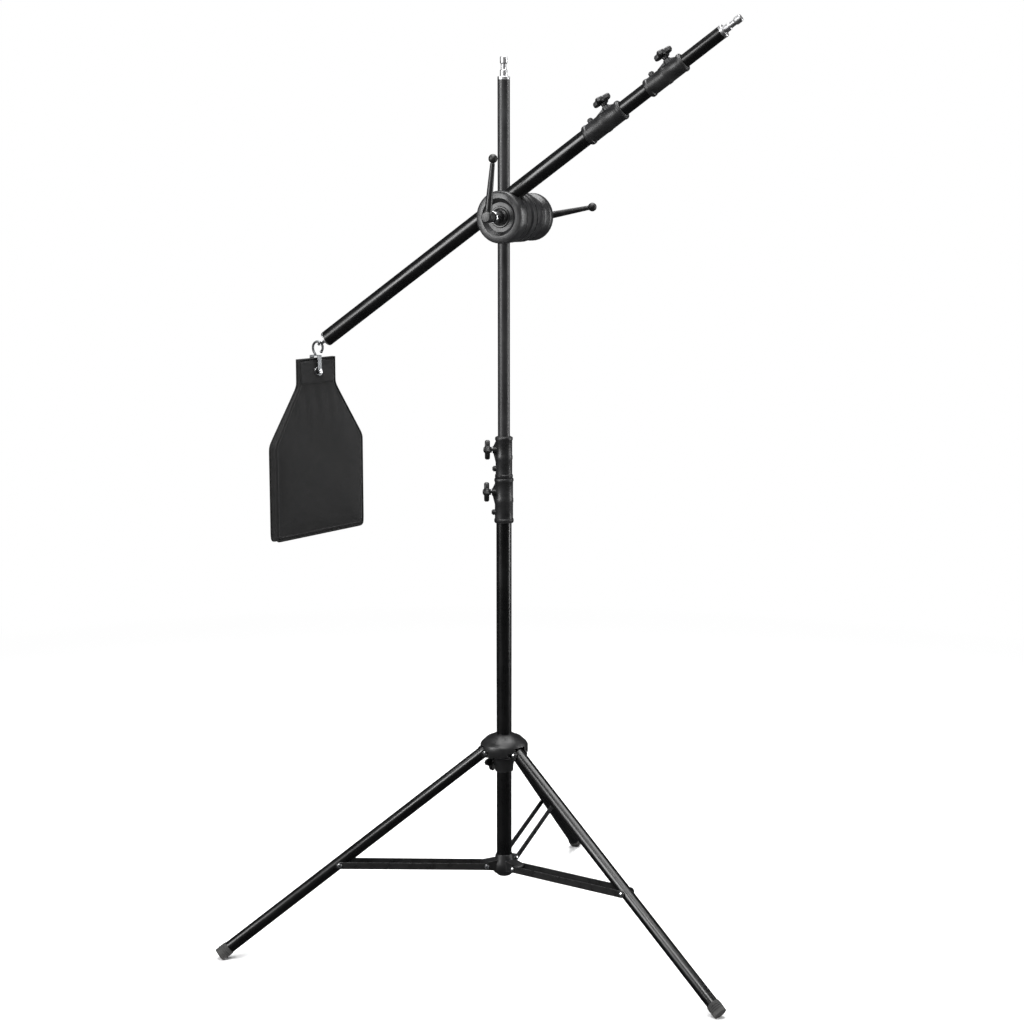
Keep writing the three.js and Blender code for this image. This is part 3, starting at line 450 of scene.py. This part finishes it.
MAT = {
    "tube": gloss_tube("gloss_black_tube"),
    "boom_tube": gloss_tube("gloss_black_boom", turn=(0, math.pi / 2 - TILT, -HEAD_YAW)),
    # Upper column tube: the same black enamel, rougher, with a lighter base colour that is
    # painted light for the grey sheen it shows.
    "upper_tube": gloss_tube("satin_painted_light_upper_tube", deep=0.007, rough=0.34),
    "casting": cast_paint("black_casting", (0.004, 0.004, 0.0042), (0.008, 0.008, 0.0083), 0.38),
    # Head castings: the black casting paint with a lighter base colour, painted light for the
    # grey the head's rims show.
    "head": cast_paint("painted_light_black_head", (0.008, 0.008, 0.0084), (0.015, 0.015, 0.0156), 0.34),
    "moulding": moulded("black_nylon", (0.004, 0.004, 0.0042), (0.008, 0.008, 0.0085), 0.42),
    "knob": moulded("black_knob", (0.003, 0.003, 0.003), (0.006, 0.006, 0.006), 0.44),
    "rubber": rubber("black_rubber"),
    "steel": bright_metal("bright_steel", (0.72, 0.73, 0.74), 0.24, (700, 700, 700)),
    "dull_steel": bright_metal("dull_steel", (0.16, 0.165, 0.17), 0.36, (700, 700, 700)),
    "aluminium": bright_metal("turned_aluminium", (0.42, 0.42, 0.425), 0.42, (60, 60, 900)),
    "strap": cast_paint("black_strap", (0.006, 0.006, 0.006), (0.011, 0.011, 0.011), 0.3,
                        grain=0.00004, wear=0.7),
    "liner": moulded("grey_liner", (0.03, 0.03, 0.031), (0.05, 0.05, 0.05), 0.55),
    "ring": moulded("pale_gasket", (0.02, 0.02, 0.02), (0.035, 0.035, 0.035), 0.5),
    # face: the gussets get painted shade, darker than the panels.
    "bag": weave("bag_nylon", (0.0034, 0.0034, 0.0036), (0.0064, 0.0064, 0.0068), 0.0017,
                 sheen=0.05, face=(math.sin(BAG_YAW), math.cos(BAG_YAW), 0)),
    "binding": weave("bag_binding", (0.0018, 0.0018, 0.0019), (0.004, 0.004, 0.004), 0.0011,
                     rough=0.7, sheen=0.04, source="Object"),
    "webbing": weave("bag_webbing", (0.004, 0.004, 0.0042), (0.008, 0.008, 0.0085), 0.0021,
                     sheen=0.06),
    "thread": thread("bag_thread", (0.02, 0.02, 0.021)),
}

SLOT_LOOK = {
    "tube_black": "tube", "casting_black": "casting", "moulding_black": "moulding",
    "knob_black": "knob", "rubber": "rubber", "steel_bright": "steel",
    "aluminium_bright": "aluminium", "strap_black": "strap", "liner_black": "liner",
    "bag_fabric": "bag",
}
NODE_LOOK = {
    "boom_shell_front": "head", "boom_shell_rear": "head",
    "column_shell_front": "head", "column_shell_rear": "head",
    "boom_outer_tube": "boom_tube", "boom_middle_tube": "boom_tube",
    "boom_inner_tube": "boom_tube", "upper_tube": "upper_tube", "bag_hook": "dull_steel",
}

SMOOTH = smooth_by_angle()
for name, obj in NODES.items():
    slot_name = obj.material_slots[0].material.name.split(".")[0]
    obj.material_slots[0].material = MAT[NODE_LOOK.get(name, SLOT_LOOK[slot_name])]
    modifier = obj.modifiers.new("smooth", "NODES")
    modifier.node_group = SMOOTH


def finish_piece(obj, look, body):
    obj.data.materials.append(MAT[look])
    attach(obj, body)
    return obj


# ---------------------------------------------------------------- small hardware

def boom_axes():
    """Where the clamp's axis meets the boom, the boom's direction and its upper side."""
    a, b = centre("boom_outer_tube"), centre("boom_inner_tube")
    along = (b - a).normalized()
    back = UP.cross(along).normalized()
    return a + along * BOOM_MIDDLE, along, along.cross(back)


BOOM_ORIGIN, ALONG, BOOM_UP = boom_axes()


def flat_dir(angle):
    return Vector((math.cos(angle), math.sin(angle), 0))


def screw_head(name, origin, axis, radius, height, node):
    """Socket-head screw: loops of one count run from rim to a hexagonal well."""
    axis = axis.normalized()
    x, y = side_axes(axis)
    n = 36
    r = radius * MM
    h = height * MM

    def hexagon(z, size):
        points = []
        for j in range(n):
            t = 2 * math.pi * j / n
            k = (t % (math.pi / 3)) - math.pi / 6
            reach = size * MM * math.cos(math.pi / 6) / math.cos(k)
            points.append(origin + axis * z
                          + x * (reach * math.cos(t)) + y * (reach * math.sin(t)))
        return points

    loops = [circle(origin - axis * (0.4 * MM), x, y, r, n),
             circle(origin + axis * (h * 0.72), x, y, r, n),
             circle(origin + axis * (h * 0.93), x, y, r * 0.93, n),
             circle(origin + axis * h, x, y, r * 0.8, n),
             hexagon(h, radius * 0.52), hexagon(h * 0.45, radius * 0.5)]
    verts, faces = loft(loops)
    return finish_piece(new_object(name, verts, faces), "strap", body_of(node))


def collar_trim(tag, node, origin, axis, boss, own_r, slide_r, length):
    """Fixing screw on the bump, bush where the next tube slides, lip at the other end."""
    bump = origin + axis * (length * SCREW_AT) + boss * (own_r + SCREW_SEAT)
    screw_head(f"fixing_screw_{tag}", bump, boss, 4.3, 2.2, node)
    inner = slide_r / MM + 0.35
    bush = lathe(f"bush_{tag}", origin + axis * length, axis, [
        (inner, -1.0), (inner + 2.7, -1.0), (inner + 2.7, 0.7), (inner + 2.2, 1.5),
        (inner + 0.6, 1.7), (inner, 1.2)], closed=True)
    finish_piece(bush, "ring", body_of(node))
    lip = lathe(f"lip_{tag}", origin, axis, [
        (own_r / MM + 0.4, -0.9), (own_r / MM + 2.9, -0.9), (own_r / MM + 3.3, 0.3),
        (own_r / MM + 0.4, 0.3)], closed=True)
    finish_piece(lip, "moulding", body_of(node))


def knob_cap(tag, node, origin, axis):
    """Domed insert with a screw end in the middle of a knob."""
    cap = lathe(f"knob_cap_{tag}", origin, axis, [
        (5.6, -2.0), (5.6, 0.1), (5.2, 0.6), (4.3, 0.75), (3.9, 0.35), (3.0, 0.3),
        (2.8, 0.9), (2.2, 1.25), (0, 1.35)])
    finish_piece(cap, "knob", body_of(node))


KNOB_DIR = flat_dir(KNOB_TURN)
CROWN_KNOB_DIR = flat_dir(CROWN_KNOB_TURN)
COLUMN_LINE = (COLUMN, UP, KNOB_DIR, COLUMN_KNOB_SEAT)
BOOM_LINE = (BOOM_ORIGIN, ALONG, BOOM_UP, BOOM_KNOB_SEAT)
# Per collar: names, its line, start and length in millimetres, own and next tube's radius
COLLARS = (
    ("lower", "lower_collar", "lower_collar_knob", COLUMN_LINE, 943, 97, LOWER_R, MIDDLE_R),
    ("upper", "upper_collar", "upper_collar_knob", COLUMN_LINE, 1040.3, 90, MIDDLE_R, UPPER_R),
    ("boom_1", "boom_collar_1", "boom_knob_1", BOOM_LINE, 251, 94, BOOM_R, BOOM_MID_R),
    ("boom_2", "boom_collar_2", "boom_knob_2", BOOM_LINE, 413, 92, BOOM_MID_R, BOOM_INNER_R),
)
for tag, collar, _, (base, axis, boss, _), start, length, own_r, slide_r in COLLARS:
    collar_trim(tag, collar, base + axis * (start * MM), axis, boss, own_r, slide_r, length * MM)
for tag, _, knob, (base, axis, boss, seat), start, length, own_r, _ in COLLARS:
    knob_cap(tag, knob, base + axis * ((start + length * KNOB_AT) * MM)
             + boss * (own_r + seat + KNOB_FACE), boss)
knob_cap("crown", "crown_knob", COLUMN + UP * CROWN_KNOB_HEIGHT
         + CROWN_KNOB_DIR * (LOWER_R + CROWN_KNOB_SEAT + KNOB_FACE), CROWN_KNOB_DIR)

# Ribs round each rubber foot
LEG_RUN = FOOT_END[0] - CROWN_PIN[0]
LEG_DROP = CROWN_PIN[1] - FOOT_END[1]
for tag, angle in LEG_ANGLES.items():
    out = flat_dir(math.radians(angle))
    end = COLUMN + out * FOOT_END[0] + UP * FOOT_END[1]
    up_leg = (UP * LEG_DROP - out * LEG_RUN).normalized()
    x, y = side_axes(up_leg)
    ribs = []
    for at in FOOT_RIBS:
        loops = [circle(end + up_leg * ((at + dz) * MM), x, y, FOOT_CAP_R + dr * MM, 36)
                 for dr, dz in ((-0.4, -1.3), (0.35, -1.0), (0.8, 0), (0.35, 1.0), (-0.4, 1.3))]
        ribs.append(loft(loops, closed=True))
    verts, faces = merge(ribs)
    finish_piece(new_object(f"foot_ribs_{tag}", verts, faces), "rubber",
                 body_of(f"foot_{tag}"))

# Dark washer and bright sleeve round the front lever's hub, and a dull washer behind
ACROSS = Vector((math.cos(HEAD_YAW), -math.sin(HEAD_YAW), 0))
AWAY = Vector((math.sin(HEAD_YAW), math.cos(HEAD_YAW), 0))
PIVOT = COLUMN + ACROSS * PIVOT_OUT + UP * PIVOT_HEIGHT
washer = lathe("head_washer_front", PIVOT + AWAY * (FRONT_FLOOR + 0.1 * MM), -AWAY, [
    (17.4, 0), (22.5, 0), (22.8, 0.5), (22.5, 1.6), (21.6, 2.1), (18.2, 2.1), (17.4, 1.5)],
    n=56, closed=True)
finish_piece(washer, "strap", body_of("boom_shell_front"))
sleeve = lathe("lever_sleeve_front", PIVOT + AWAY * FRONT_FLOOR, -AWAY, [
    (10.9, 16), (11.7, 16), (12.1, 16.5), (12.1, 37), (11.7, 37.5), (10.9, 37.5)],
    n=48, closed=True)
finish_piece(sleeve, "steel", body_of("lever_front"))
back_washer = lathe("head_washer_back", PIVOT + AWAY * (BACK_FLOOR + 0.1 * MM), AWAY, [
    (17.4, 0), (23.5, 0), (23.8, 0.5), (23.5, 1.5), (22.6, 2.0), (18.2, 2.0), (17.4, 1.4)],
    n=56, closed=True)
finish_piece(back_washer, "dull_steel", body_of("column_shell_rear"))

# ---------------------------------------------------------------- sandbag

EYE = BOOM_ORIGIN - ALONG * EYE_DOWN_BOOM - ACROSS * EYE_OUT
BAG_X = Vector((math.cos(BAG_YAW), -math.sin(BAG_YAW), 0))
BAG_Y = Vector((math.sin(BAG_YAW), math.cos(BAG_YAW), 0))
BAG_TOP = 30.0                   # the bag's top below the eye
NECK_W, NECK_H, NECK_T = 128.0, 60.0, 15.0
BAG_W = 306.0
RIM_T = 9.0                      # half the gusset's width where the bag is full
SHOULDER_H, BODY_H = 127.0, 215.0
BAG_H = NECK_H + SHOULDER_H + BODY_H
SEAM_IN = 4.0                    # cloth edge inside the CAD outline, for the piping
GUSSET_IN = 0.6                  # cloth inside the gusset's half width, for the piping
CORNER, CORNER_IN = 6.0, 2.0     # height of the lower corners and how far they draw in
PIPING_R = 2.1 * MM
EYELET_V = 30                    # the bolt's place below the bag's top
FACE_STEPS, SIDE_STEPS = 44, 8   # points along a panel and along a gusset
BAG_ROWS = 66


def bag_point(u, v, w):
    """u across, v down from the bag's top, w through it: millimetres to the frame."""
    return EYE + BAG_X * (u * MM) - UP * ((BAG_TOP + v) * MM) + BAG_Y * (w * MM)


def smoothstep(k):
    k = min(1.0, max(0.0, k))
    return k * k * (3 - 2 * k)


def half_width(v):
    if v < NECK_H:
        return NECK_W / 2
    if v < NECK_H + SHOULDER_H:
        k = (v - NECK_H) / SHOULDER_H
        return (NECK_W + (BAG_W - NECK_W) * k) / 2
    corner = max(0.0, (v - (BAG_H - CORNER)) / CORNER)
    return BAG_W / 2 - CORNER_IN * corner * corner


def rim_half_thick(v):
    """Half the gusset's width along the bag's edge."""
    fill = smoothstep((v - NECK_H * 0.9) / 150)
    end = math.sqrt(min(1.0, max(0.0, (BAG_H - v) / 20)))
    return NECK_T * 0.30 + (RIM_T - NECK_T * 0.30) * fill * (0.55 + 0.45 * end)


def bag_loop(v):
    """Section at height v: front panel, right gusset, back panel, left gusset."""
    half = half_width(v) - SEAM_IN
    rim = rim_half_thick(v) - GUSSET_IN
    face = [2 * j / FACE_STEPS - 1 for j in range(FACE_STEPS)]
    side = [2 * j / SIDE_STEPS - 1 for j in range(SIDE_STEPS)]
    return ([(half * k, -rim) for k in face] + [(half, rim * k) for k in side]
            + [(half * -k, rim) for k in face] + [(-half, rim * -k) for k in side])


def build_bag():
    top, bottom = 2.0, BAG_H - SEAM_IN
    loops, uvs = [], []
    for i in range(BAG_ROWS + 1):
        v = top + (bottom - top) * i / BAG_ROWS
        section = bag_loop(v)
        loops.append([bag_point(u, v, w) for u, w in section])
        gusset = half_width(v) - 6
        uvs.extend(((u + (w if abs(u) > gusset else 0)) * MM, v * MM) for u, w in section)
    verts, faces = loft(loops, caps=False)
    faces = [tuple(reversed(f)) for f in faces]
    n = len(loops[0])

    def close(row, flip):
        """Fill an open end with a strip between the front and back edges."""
        def add(face):
            faces.append(tuple(reversed(face)) if flip else tuple(face))

        base = row * n
        front = [base + j for j in range(FACE_STEPS + 1)]
        back = [base + 2 * FACE_STEPS + SIDE_STEPS - j for j in range(FACE_STEPS + 1)]
        for j in range(FACE_STEPS):
            add((front[j], front[j + 1], back[j + 1], back[j]))
        for start in (FACE_STEPS, 2 * FACE_STEPS + SIDE_STEPS):
            add([base + k % n for k in range(start, start + SIDE_STEPS + 1)])

    close(0, False)
    close(BAG_ROWS, True)
    return new_object("sandbag_shell", verts, faces, uvs=uvs)


def bag_local(p):
    d = p - EYE
    return d.dot(BAG_X) / MM, -d.z / MM - BAG_TOP, d.dot(BAG_Y) / MM


def edge_distance(u, v):
    side = half_width(min(v, BAG_H)) - SEAM_IN - abs(u)
    return max(0.0, min(side, v, BAG_H - SEAM_IN - v))


CLOTH_FRAMES = 20
CLOTH = {
    "quality": 6, "mass": 0.4, "tension_stiffness": 20, "compression_stiffness": 12,
    "shear_stiffness": 8, "bending_stiffness": 2.5, "use_pressure": True,
    "uniform_pressure_force": 4.0,
}
LARGEST_PUSH = 9 * MM            # as far as the pressure may move any point
HELD_EDGE = 3                    # width of the sewn edge that the pressure moves little
BELLY_V, BELLY_SPREAD = 300, 95  # height of the fullest part, and its spread
BULGE, BELLY = 2.6, 3.4          # swelling of the whole panel, and more at the belly
PUCKER_V, PUCKER_SPREAD = NECK_H + 42, 46    # where the cloth gathers below the neck
CREASE, SAG, RIPPLE = 1.1, 0.8, 0.55         # heights of the three kinds of fold


def inflate(obj):
    """Let sand pressure fill the sewn shell, then hold the seams where they are."""
    rest = [v.co.copy() for v in obj.data.vertices]
    moved = [Vector((0, 0, 0)) for _ in rest]
    held = obj.vertex_groups.new(name="held")
    for index, co in enumerate(rest):
        u, v, _ = bag_local(co)
        if v < NECK_H * 0.8:
            held.add([index], 1.0, "REPLACE")
        elif edge_distance(u, v) < HELD_EDGE:
            held.add([index], 0.8, "REPLACE")
    cloth = obj.modifiers.new("cloth", "CLOTH")
    settings = cloth.settings
    for key, value in CLOTH.items():
        setattr(settings, key, value)
    settings.effector_weights.gravity = 0.0
    settings.vertex_group_mass = "held"
    cloth.collision_settings.use_collision = False
    cloth.point_cache.frame_start = 1
    cloth.point_cache.frame_end = CLOTH_FRAMES
    scene = bpy.context.scene
    for number in range(1, CLOTH_FRAMES + 1):
        scene.frame_set(number)
    graph = bpy.context.evaluated_depsgraph_get()
    result = obj.evaluated_get(graph).to_mesh()
    moved = [v.co - r for v, r in zip(result.vertices, rest)]
    obj.evaluated_get(graph).to_mesh_clear()
    obj.modifiers.remove(cloth)
    obj.vertex_groups.clear()
    scene.frame_set(1)
    for vertex, r, m in zip(obj.data.vertices, rest, moved):
        u, v, w = bag_local(r)
        side = -1 if w < 0 else 1
        far = edge_distance(u, v)
        m = m * smoothstep(far / 26) * smoothstep((v - NECK_H) / 60)
        if m.length > LARGEST_PUSH:
            m = m * (LARGEST_PUSH / m.length)
        low = math.exp(-((v - BELLY_V) / BELLY_SPREAD) ** 2)
        fill = (1 - math.exp(-far / 34)) * smoothstep((v - NECK_H) / 110)
        bulge = fill * (BULGE + BELLY * low) * side
        pull = math.exp(-((v - PUCKER_V) / PUCKER_SPREAD) ** 2) * smoothstep(far / 20)
        crease = pull * CREASE * math.sin(u * 0.16 + 0.7 * math.sin(v * 0.045)) * side
        sag = SAG * math.sin(u * 0.034 + 1.1) * math.sin(v * 0.05 + 0.5) * fill * side
        along_edge = u if v > BAG_H - 30 else v
        ripple = RIPPLE * math.exp(-far / 12) * math.sin(along_edge * 0.33)
        ripple *= smoothstep((v - NECK_H) / 30) * (1 if far > 0.5 else 0) * side
        vertex.co = r + m + BAG_Y * ((bulge + crease + sag + ripple) * MM)
    obj.data.update()
    subdivide = obj.modifiers.new("smooth", "SUBSURF")
    subdivide.levels = subdivide.render_levels = 1


bag = build_bag()
inflate(bag)
finish_piece(bag, "bag", "bag")
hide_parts("counterweight_bag")

BAG_TREE = BVHTree.FromObject(bag, bpy.context.evaluated_depsgraph_get())


def rim_path(side, inset=0.0, start=0.0):
    """Points round one panel's edge, from the neck's left top round to its right top."""
    rows = [start + (BAG_H - SEAM_IN - start) * i / 90 for i in range(91)]
    left = [(-half_width(v) + SEAM_IN + inset, v) for v in rows if v <= BAG_H - SEAM_IN - inset]
    last_u, last_v = left[-1]
    span = -last_u
    across = [(last_u + 2 * span * j / 60, last_v) for j in range(1, 60)]
    right = [(-u, v) for u, v in reversed(left)]
    return [(u, v, side * (rim_half_thick(v) - GUSSET_IN)) for u, v in left + across + right]


def smooth_points(points):
    """Points with their corners eased, ends kept."""
    for _ in range(3):
        points = [points[0]] + [
            (points[i - 1] + points[i] * 2 + points[i + 1]) / 4
            for i in range(1, len(points) - 1)] + [points[-1]]
    return points


for label, side in FACES:
    path = smooth_points([bag_point(u, v, w) for u, v, w in rim_path(side)])
    verts, faces = sweep(path, PIPING_R)
    piping = new_object(f"sandbag_piping_{label}", verts, faces)
    finish_piece(piping, "binding", "bag")


def on_cloth(u, v, side, lift):
    """Nearest cloth point straight through the panel, lifted off it."""
    origin = bag_point(u, v, side * 60)
    hit, normal, _, _ = BAG_TREE.ray_cast(origin, BAG_Y * -side)
    if hit is None:
        return None, None
    if normal.dot(BAG_Y) * side < 0:
        normal = -normal
    return hit + normal * (lift * MM), normal


def stitch(a, b, normal, radius=0.42):
    """One lockstitch: a short thread that dips into the cloth at both ends."""
    path = [a - normal * (0.55 * MM), a.lerp(b, 0.22) + normal * (0.25 * MM),
            a.lerp(b, 0.5) + normal * (0.36 * MM), a.lerp(b, 0.78) + normal * (0.25 * MM),
            b - normal * (0.55 * MM)]
    return sweep(path, radius * MM, sides=6)


def stitch_line(points_uv, side, pitch=4.6, length=3.3):
    """Stitches at an even pitch along a path drawn on one panel."""
    parts = []
    carry = 0.0
    for (u0, v0), (u1, v1) in zip(points_uv, points_uv[1:]):
        run = math.hypot(u1 - u0, v1 - v0)
        at = carry
        while at < run:
            k0, k1 = at / run, (at + length) / run
            a, normal = on_cloth(u0 + (u1 - u0) * k0, v0 + (v1 - v0) * k0, side, 0.1)
            b, _ = on_cloth(u0 + (u1 - u0) * k1, v0 + (v1 - v0) * k1, side, 0.1)
            if a is not None and b is not None:
                parts.append(stitch(a, b, normal))
            at += pitch
        carry = at - run
    return parts


stitches = []
for _, side in FACES:
    edge = [(u, v) for u, v, _ in rim_path(side, inset=6.5, start=6.0)]
    stitches += stitch_line(edge[::3] + [edge[-1]], side)
    for v in (6.5, 52.0):
        stitches += stitch_line([(-NECK_W / 2 + 9, v), (NECK_W / 2 - 9, v)], side)
verts, faces = merge(stitches)
finish_piece(new_object("sandbag_stitching", verts, faces), "thread", "bag")


def patch(name, u0, u1, v0, v1, side, thick, look, nu=26, nv=16, corner=3.0):
    """A sewn-on cloth patch that lies on the bag: a thin closed sheet."""
    outer, inner, uvs = [], [], []
    for i in range(nv + 1):
        for j in range(nu + 1):
            u = u0 + (u1 - u0) * j / nu
            v = v0 + (v1 - v0) * i / nv
            du = min(u - u0, u1 - u)
            dv = min(v - v0, v1 - v)
            if du < corner and dv < corner:
                over = math.hypot(corner - du, corner - dv) - corner
                if over > 0:
                    u += (1 if u < (u0 + u1) / 2 else -1) * over * 0.7
                    v += (1 if v < (v0 + v1) / 2 else -1) * over * 0.7
            rim = 1 - smoothstep(min(du, dv) / 1.5)
            top, _ = on_cloth(u, v, side, thick - 0.45 * rim)
            low, _ = on_cloth(u, v, side, -0.15)
            outer.append(top)
            inner.append(low)
            uvs.append((u * MM, v * MM))
    if any(p is None for p in outer + inner):
        raise ValueError(f"{name} runs off the cloth")
    count = len(outer)
    row = nu + 1
    faces = []
    for i in range(nv):
        for j in range(nu):
            a, b, c, d = i * row + j, i * row + j + 1, (i + 1) * row + j + 1, (i + 1) * row + j
            faces.append((a, b, c, d))
            faces.append((count + d, count + c, count + b, count + a))
    border = ([j for j in range(nu)] + [i * row + nu for i in range(nv)]
              + [nv * row + j for j in range(nu, 0, -1)] + [i * row for i in range(nv, 0, -1)])
    for a, b in zip(border, border[1:] + border[:1]):
        faces.append((b, a, count + a, count + b))
    if side > 0:
        faces = [tuple(reversed(f)) for f in faces]
    obj = new_object(name, outer + inner, faces, uvs=uvs + uvs)
    return finish_piece(obj, look, "bag")


# Doubled cloth over the neck on both faces, and its folded top edge
for label, side in FACES:
    patch(f"sandbag_neck_patch_{label}", -NECK_W / 2 + 6, NECK_W / 2 - 6, 3.5, 57, side,
          0.9, "webbing")
TOP_STEPS, TOP_SIDES = 30, 14
TOP_HALF_DEPTH, TOP_HALF_HEIGHT = 5.6 * MM, 1.9 * MM
loops = []
for i in range(TOP_STEPS + 1):
    u = -NECK_W / 2 + SEAM_IN + (NECK_W - 2 * SEAM_IN) * i / TOP_STEPS
    turns = [2 * math.pi * j / TOP_SIDES for j in range(TOP_SIDES)]
    loops.append([bag_point(u, 1.4, 0) + BAG_Y * (TOP_HALF_DEPTH * math.cos(t))
                  + UP * (TOP_HALF_HEIGHT * math.sin(t)) for t in turns])
verts, faces = loft(loops)
finish_piece(new_object("sandbag_top_binding", verts, faces), "binding", "bag")

# Eyelet rings round the bolt, under the hook's strap
for label, side in FACES:
    seat, _ = on_cloth(8.5, EYELET_V, side, 0)
    depth = abs(bag_local(seat)[2])
    centre_point = bag_point(0, EYELET_V, side * depth)
    ring = lathe(f"sandbag_eyelet_{label}", centre_point, BAG_Y * side, [
        (4.6, -0.6), (9.4, -0.6), (9.6, 0.6), (8.8, 1.5), (7.2, 2.0), (5.6, 1.6), (4.8, 0.6)],
        n=40, closed=True)
    finish_piece(ring, "steel", "bag")

# ---------------------------------------------------------------- studio

WHITE = (1, 1, 1, 1)
FLOOR_HALF = 40                  # metres
CAMERA_PLACE = (0.09805, -4.25272, 1.62553)
CAMERA_DOWN = 8.977              # degrees below level
CAMERA_LENS, SENSOR = 68.15, 36.0            # millimetres
ROOM_LIGHT = 0.045               # strength of the even light on the object
# Name, place, point it aims at, width, height, power
SOFTBOXES = (
    ("key_top_front", (-0.6, -2.9, 4.3), (0, 0, 1.2), 2.4, 0.9, 170),
    ("overhead", (0.2, 0.4, 4.8), (0, 0, 0), 3.2, 3.2, 330),
    ("strip_right", (3.3, 0.2, 1.5), (0.08, -0.07, 1.2), 0.7, 2.8, 90),
    ("boom_strip", (-2.83, -1.9, 2.05), (0, 0, 1.6), 1.3, 1.9, 120),
    ("strip_left", (-3.2, -1.6, 1.6), (0, 0, 1.2), 0.8, 2.4, 28),
)


def studio():
    scene = bpy.context.scene
    scene.view_settings.view_transform = "Standard"
    scene.view_settings.look = "None"
    corners = [(x * FLOOR_HALF, y * FLOOR_HALF, 0)
               for x, y in ((-1, -1), (1, -1), (1, 1), (-1, 1))]
    floor = new_object("studio_floor", corners, [(0, 1, 2, 3)], smooth=False)
    s = Shader("studio_floor")
    s.fixed(Roughness=0.9, Specular_IOR_Level=0.1)
    s.colour(s.mix(s.noise(3, 3.0), (0.84, 0.84, 0.84), (0.86, 0.86, 0.86)))
    reach = s.put("ShaderNodeVectorMath", operation="LENGTH")
    s.join(s.coords.outputs["Object"], reach.inputs[0])
    far = s.remap(reach.outputs["Value"], 1.1, 3.6, 0, 1)
    glow = s.put("ShaderNodeEmission", Strength=1.0)
    glow.inputs["Color"].default_value = WHITE
    blend = s.put("ShaderNodeMixShader")
    s.join(far, blend.inputs[0])
    s.join(s.bsdf.outputs[0], blend.inputs[1])
    s.join(glow.outputs[0], blend.inputs[2])
    s.join(blend.outputs[0], s.nodes["Material Output"].inputs["Surface"])
    floor.data.materials.append(s.material)
    floor.visible_glossy = False

    world = bpy.data.worlds.new("studio")
    scene.world = world
    world.use_nodes = True
    nodes, links = world.node_tree.nodes, world.node_tree.links
    back = nodes["Background"]
    back.inputs["Color"].default_value = WHITE
    back.inputs["Strength"].default_value = 1.0
    soft = nodes.new("ShaderNodeBackground")
    soft.inputs["Color"].default_value = (0.93, 0.95, 1.0, 1)
    soft.inputs["Strength"].default_value = ROOM_LIGHT
    path = nodes.new("ShaderNodeLightPath")
    mix = nodes.new("ShaderNodeMixShader")
    links.new(path.outputs["Is Camera Ray"], mix.inputs[0])
    links.new(soft.outputs[0], mix.inputs[1])
    links.new(back.outputs[0], mix.inputs[2])
    links.new(mix.outputs[0], nodes["World Output"].inputs["Surface"])

    for name, place, target, width, height, power in SOFTBOXES:
        data = bpy.data.lights.new(name, "AREA")
        data.shape = "RECTANGLE"
        data.size, data.size_y = width, height
        data.energy = power
        lamp = bpy.data.objects.new(name, data)
        lamp.location = place
        aim = Vector(target) - Vector(place)
        lamp.rotation_euler = aim.to_track_quat("-Z", "Y").to_euler()
        scene.collection.objects.link(lamp)

    data = bpy.data.cameras.new("photo_camera")
    data.lens = CAMERA_LENS
    data.sensor_width = SENSOR
    data.clip_end = 200
    camera = bpy.data.objects.new("photo_camera", data)
    camera.location = CAMERA_PLACE
    camera.rotation_euler = (math.radians(90 - CAMERA_DOWN), 0, 0)
    scene.collection.objects.link(camera)
    scene.camera = camera


studio()
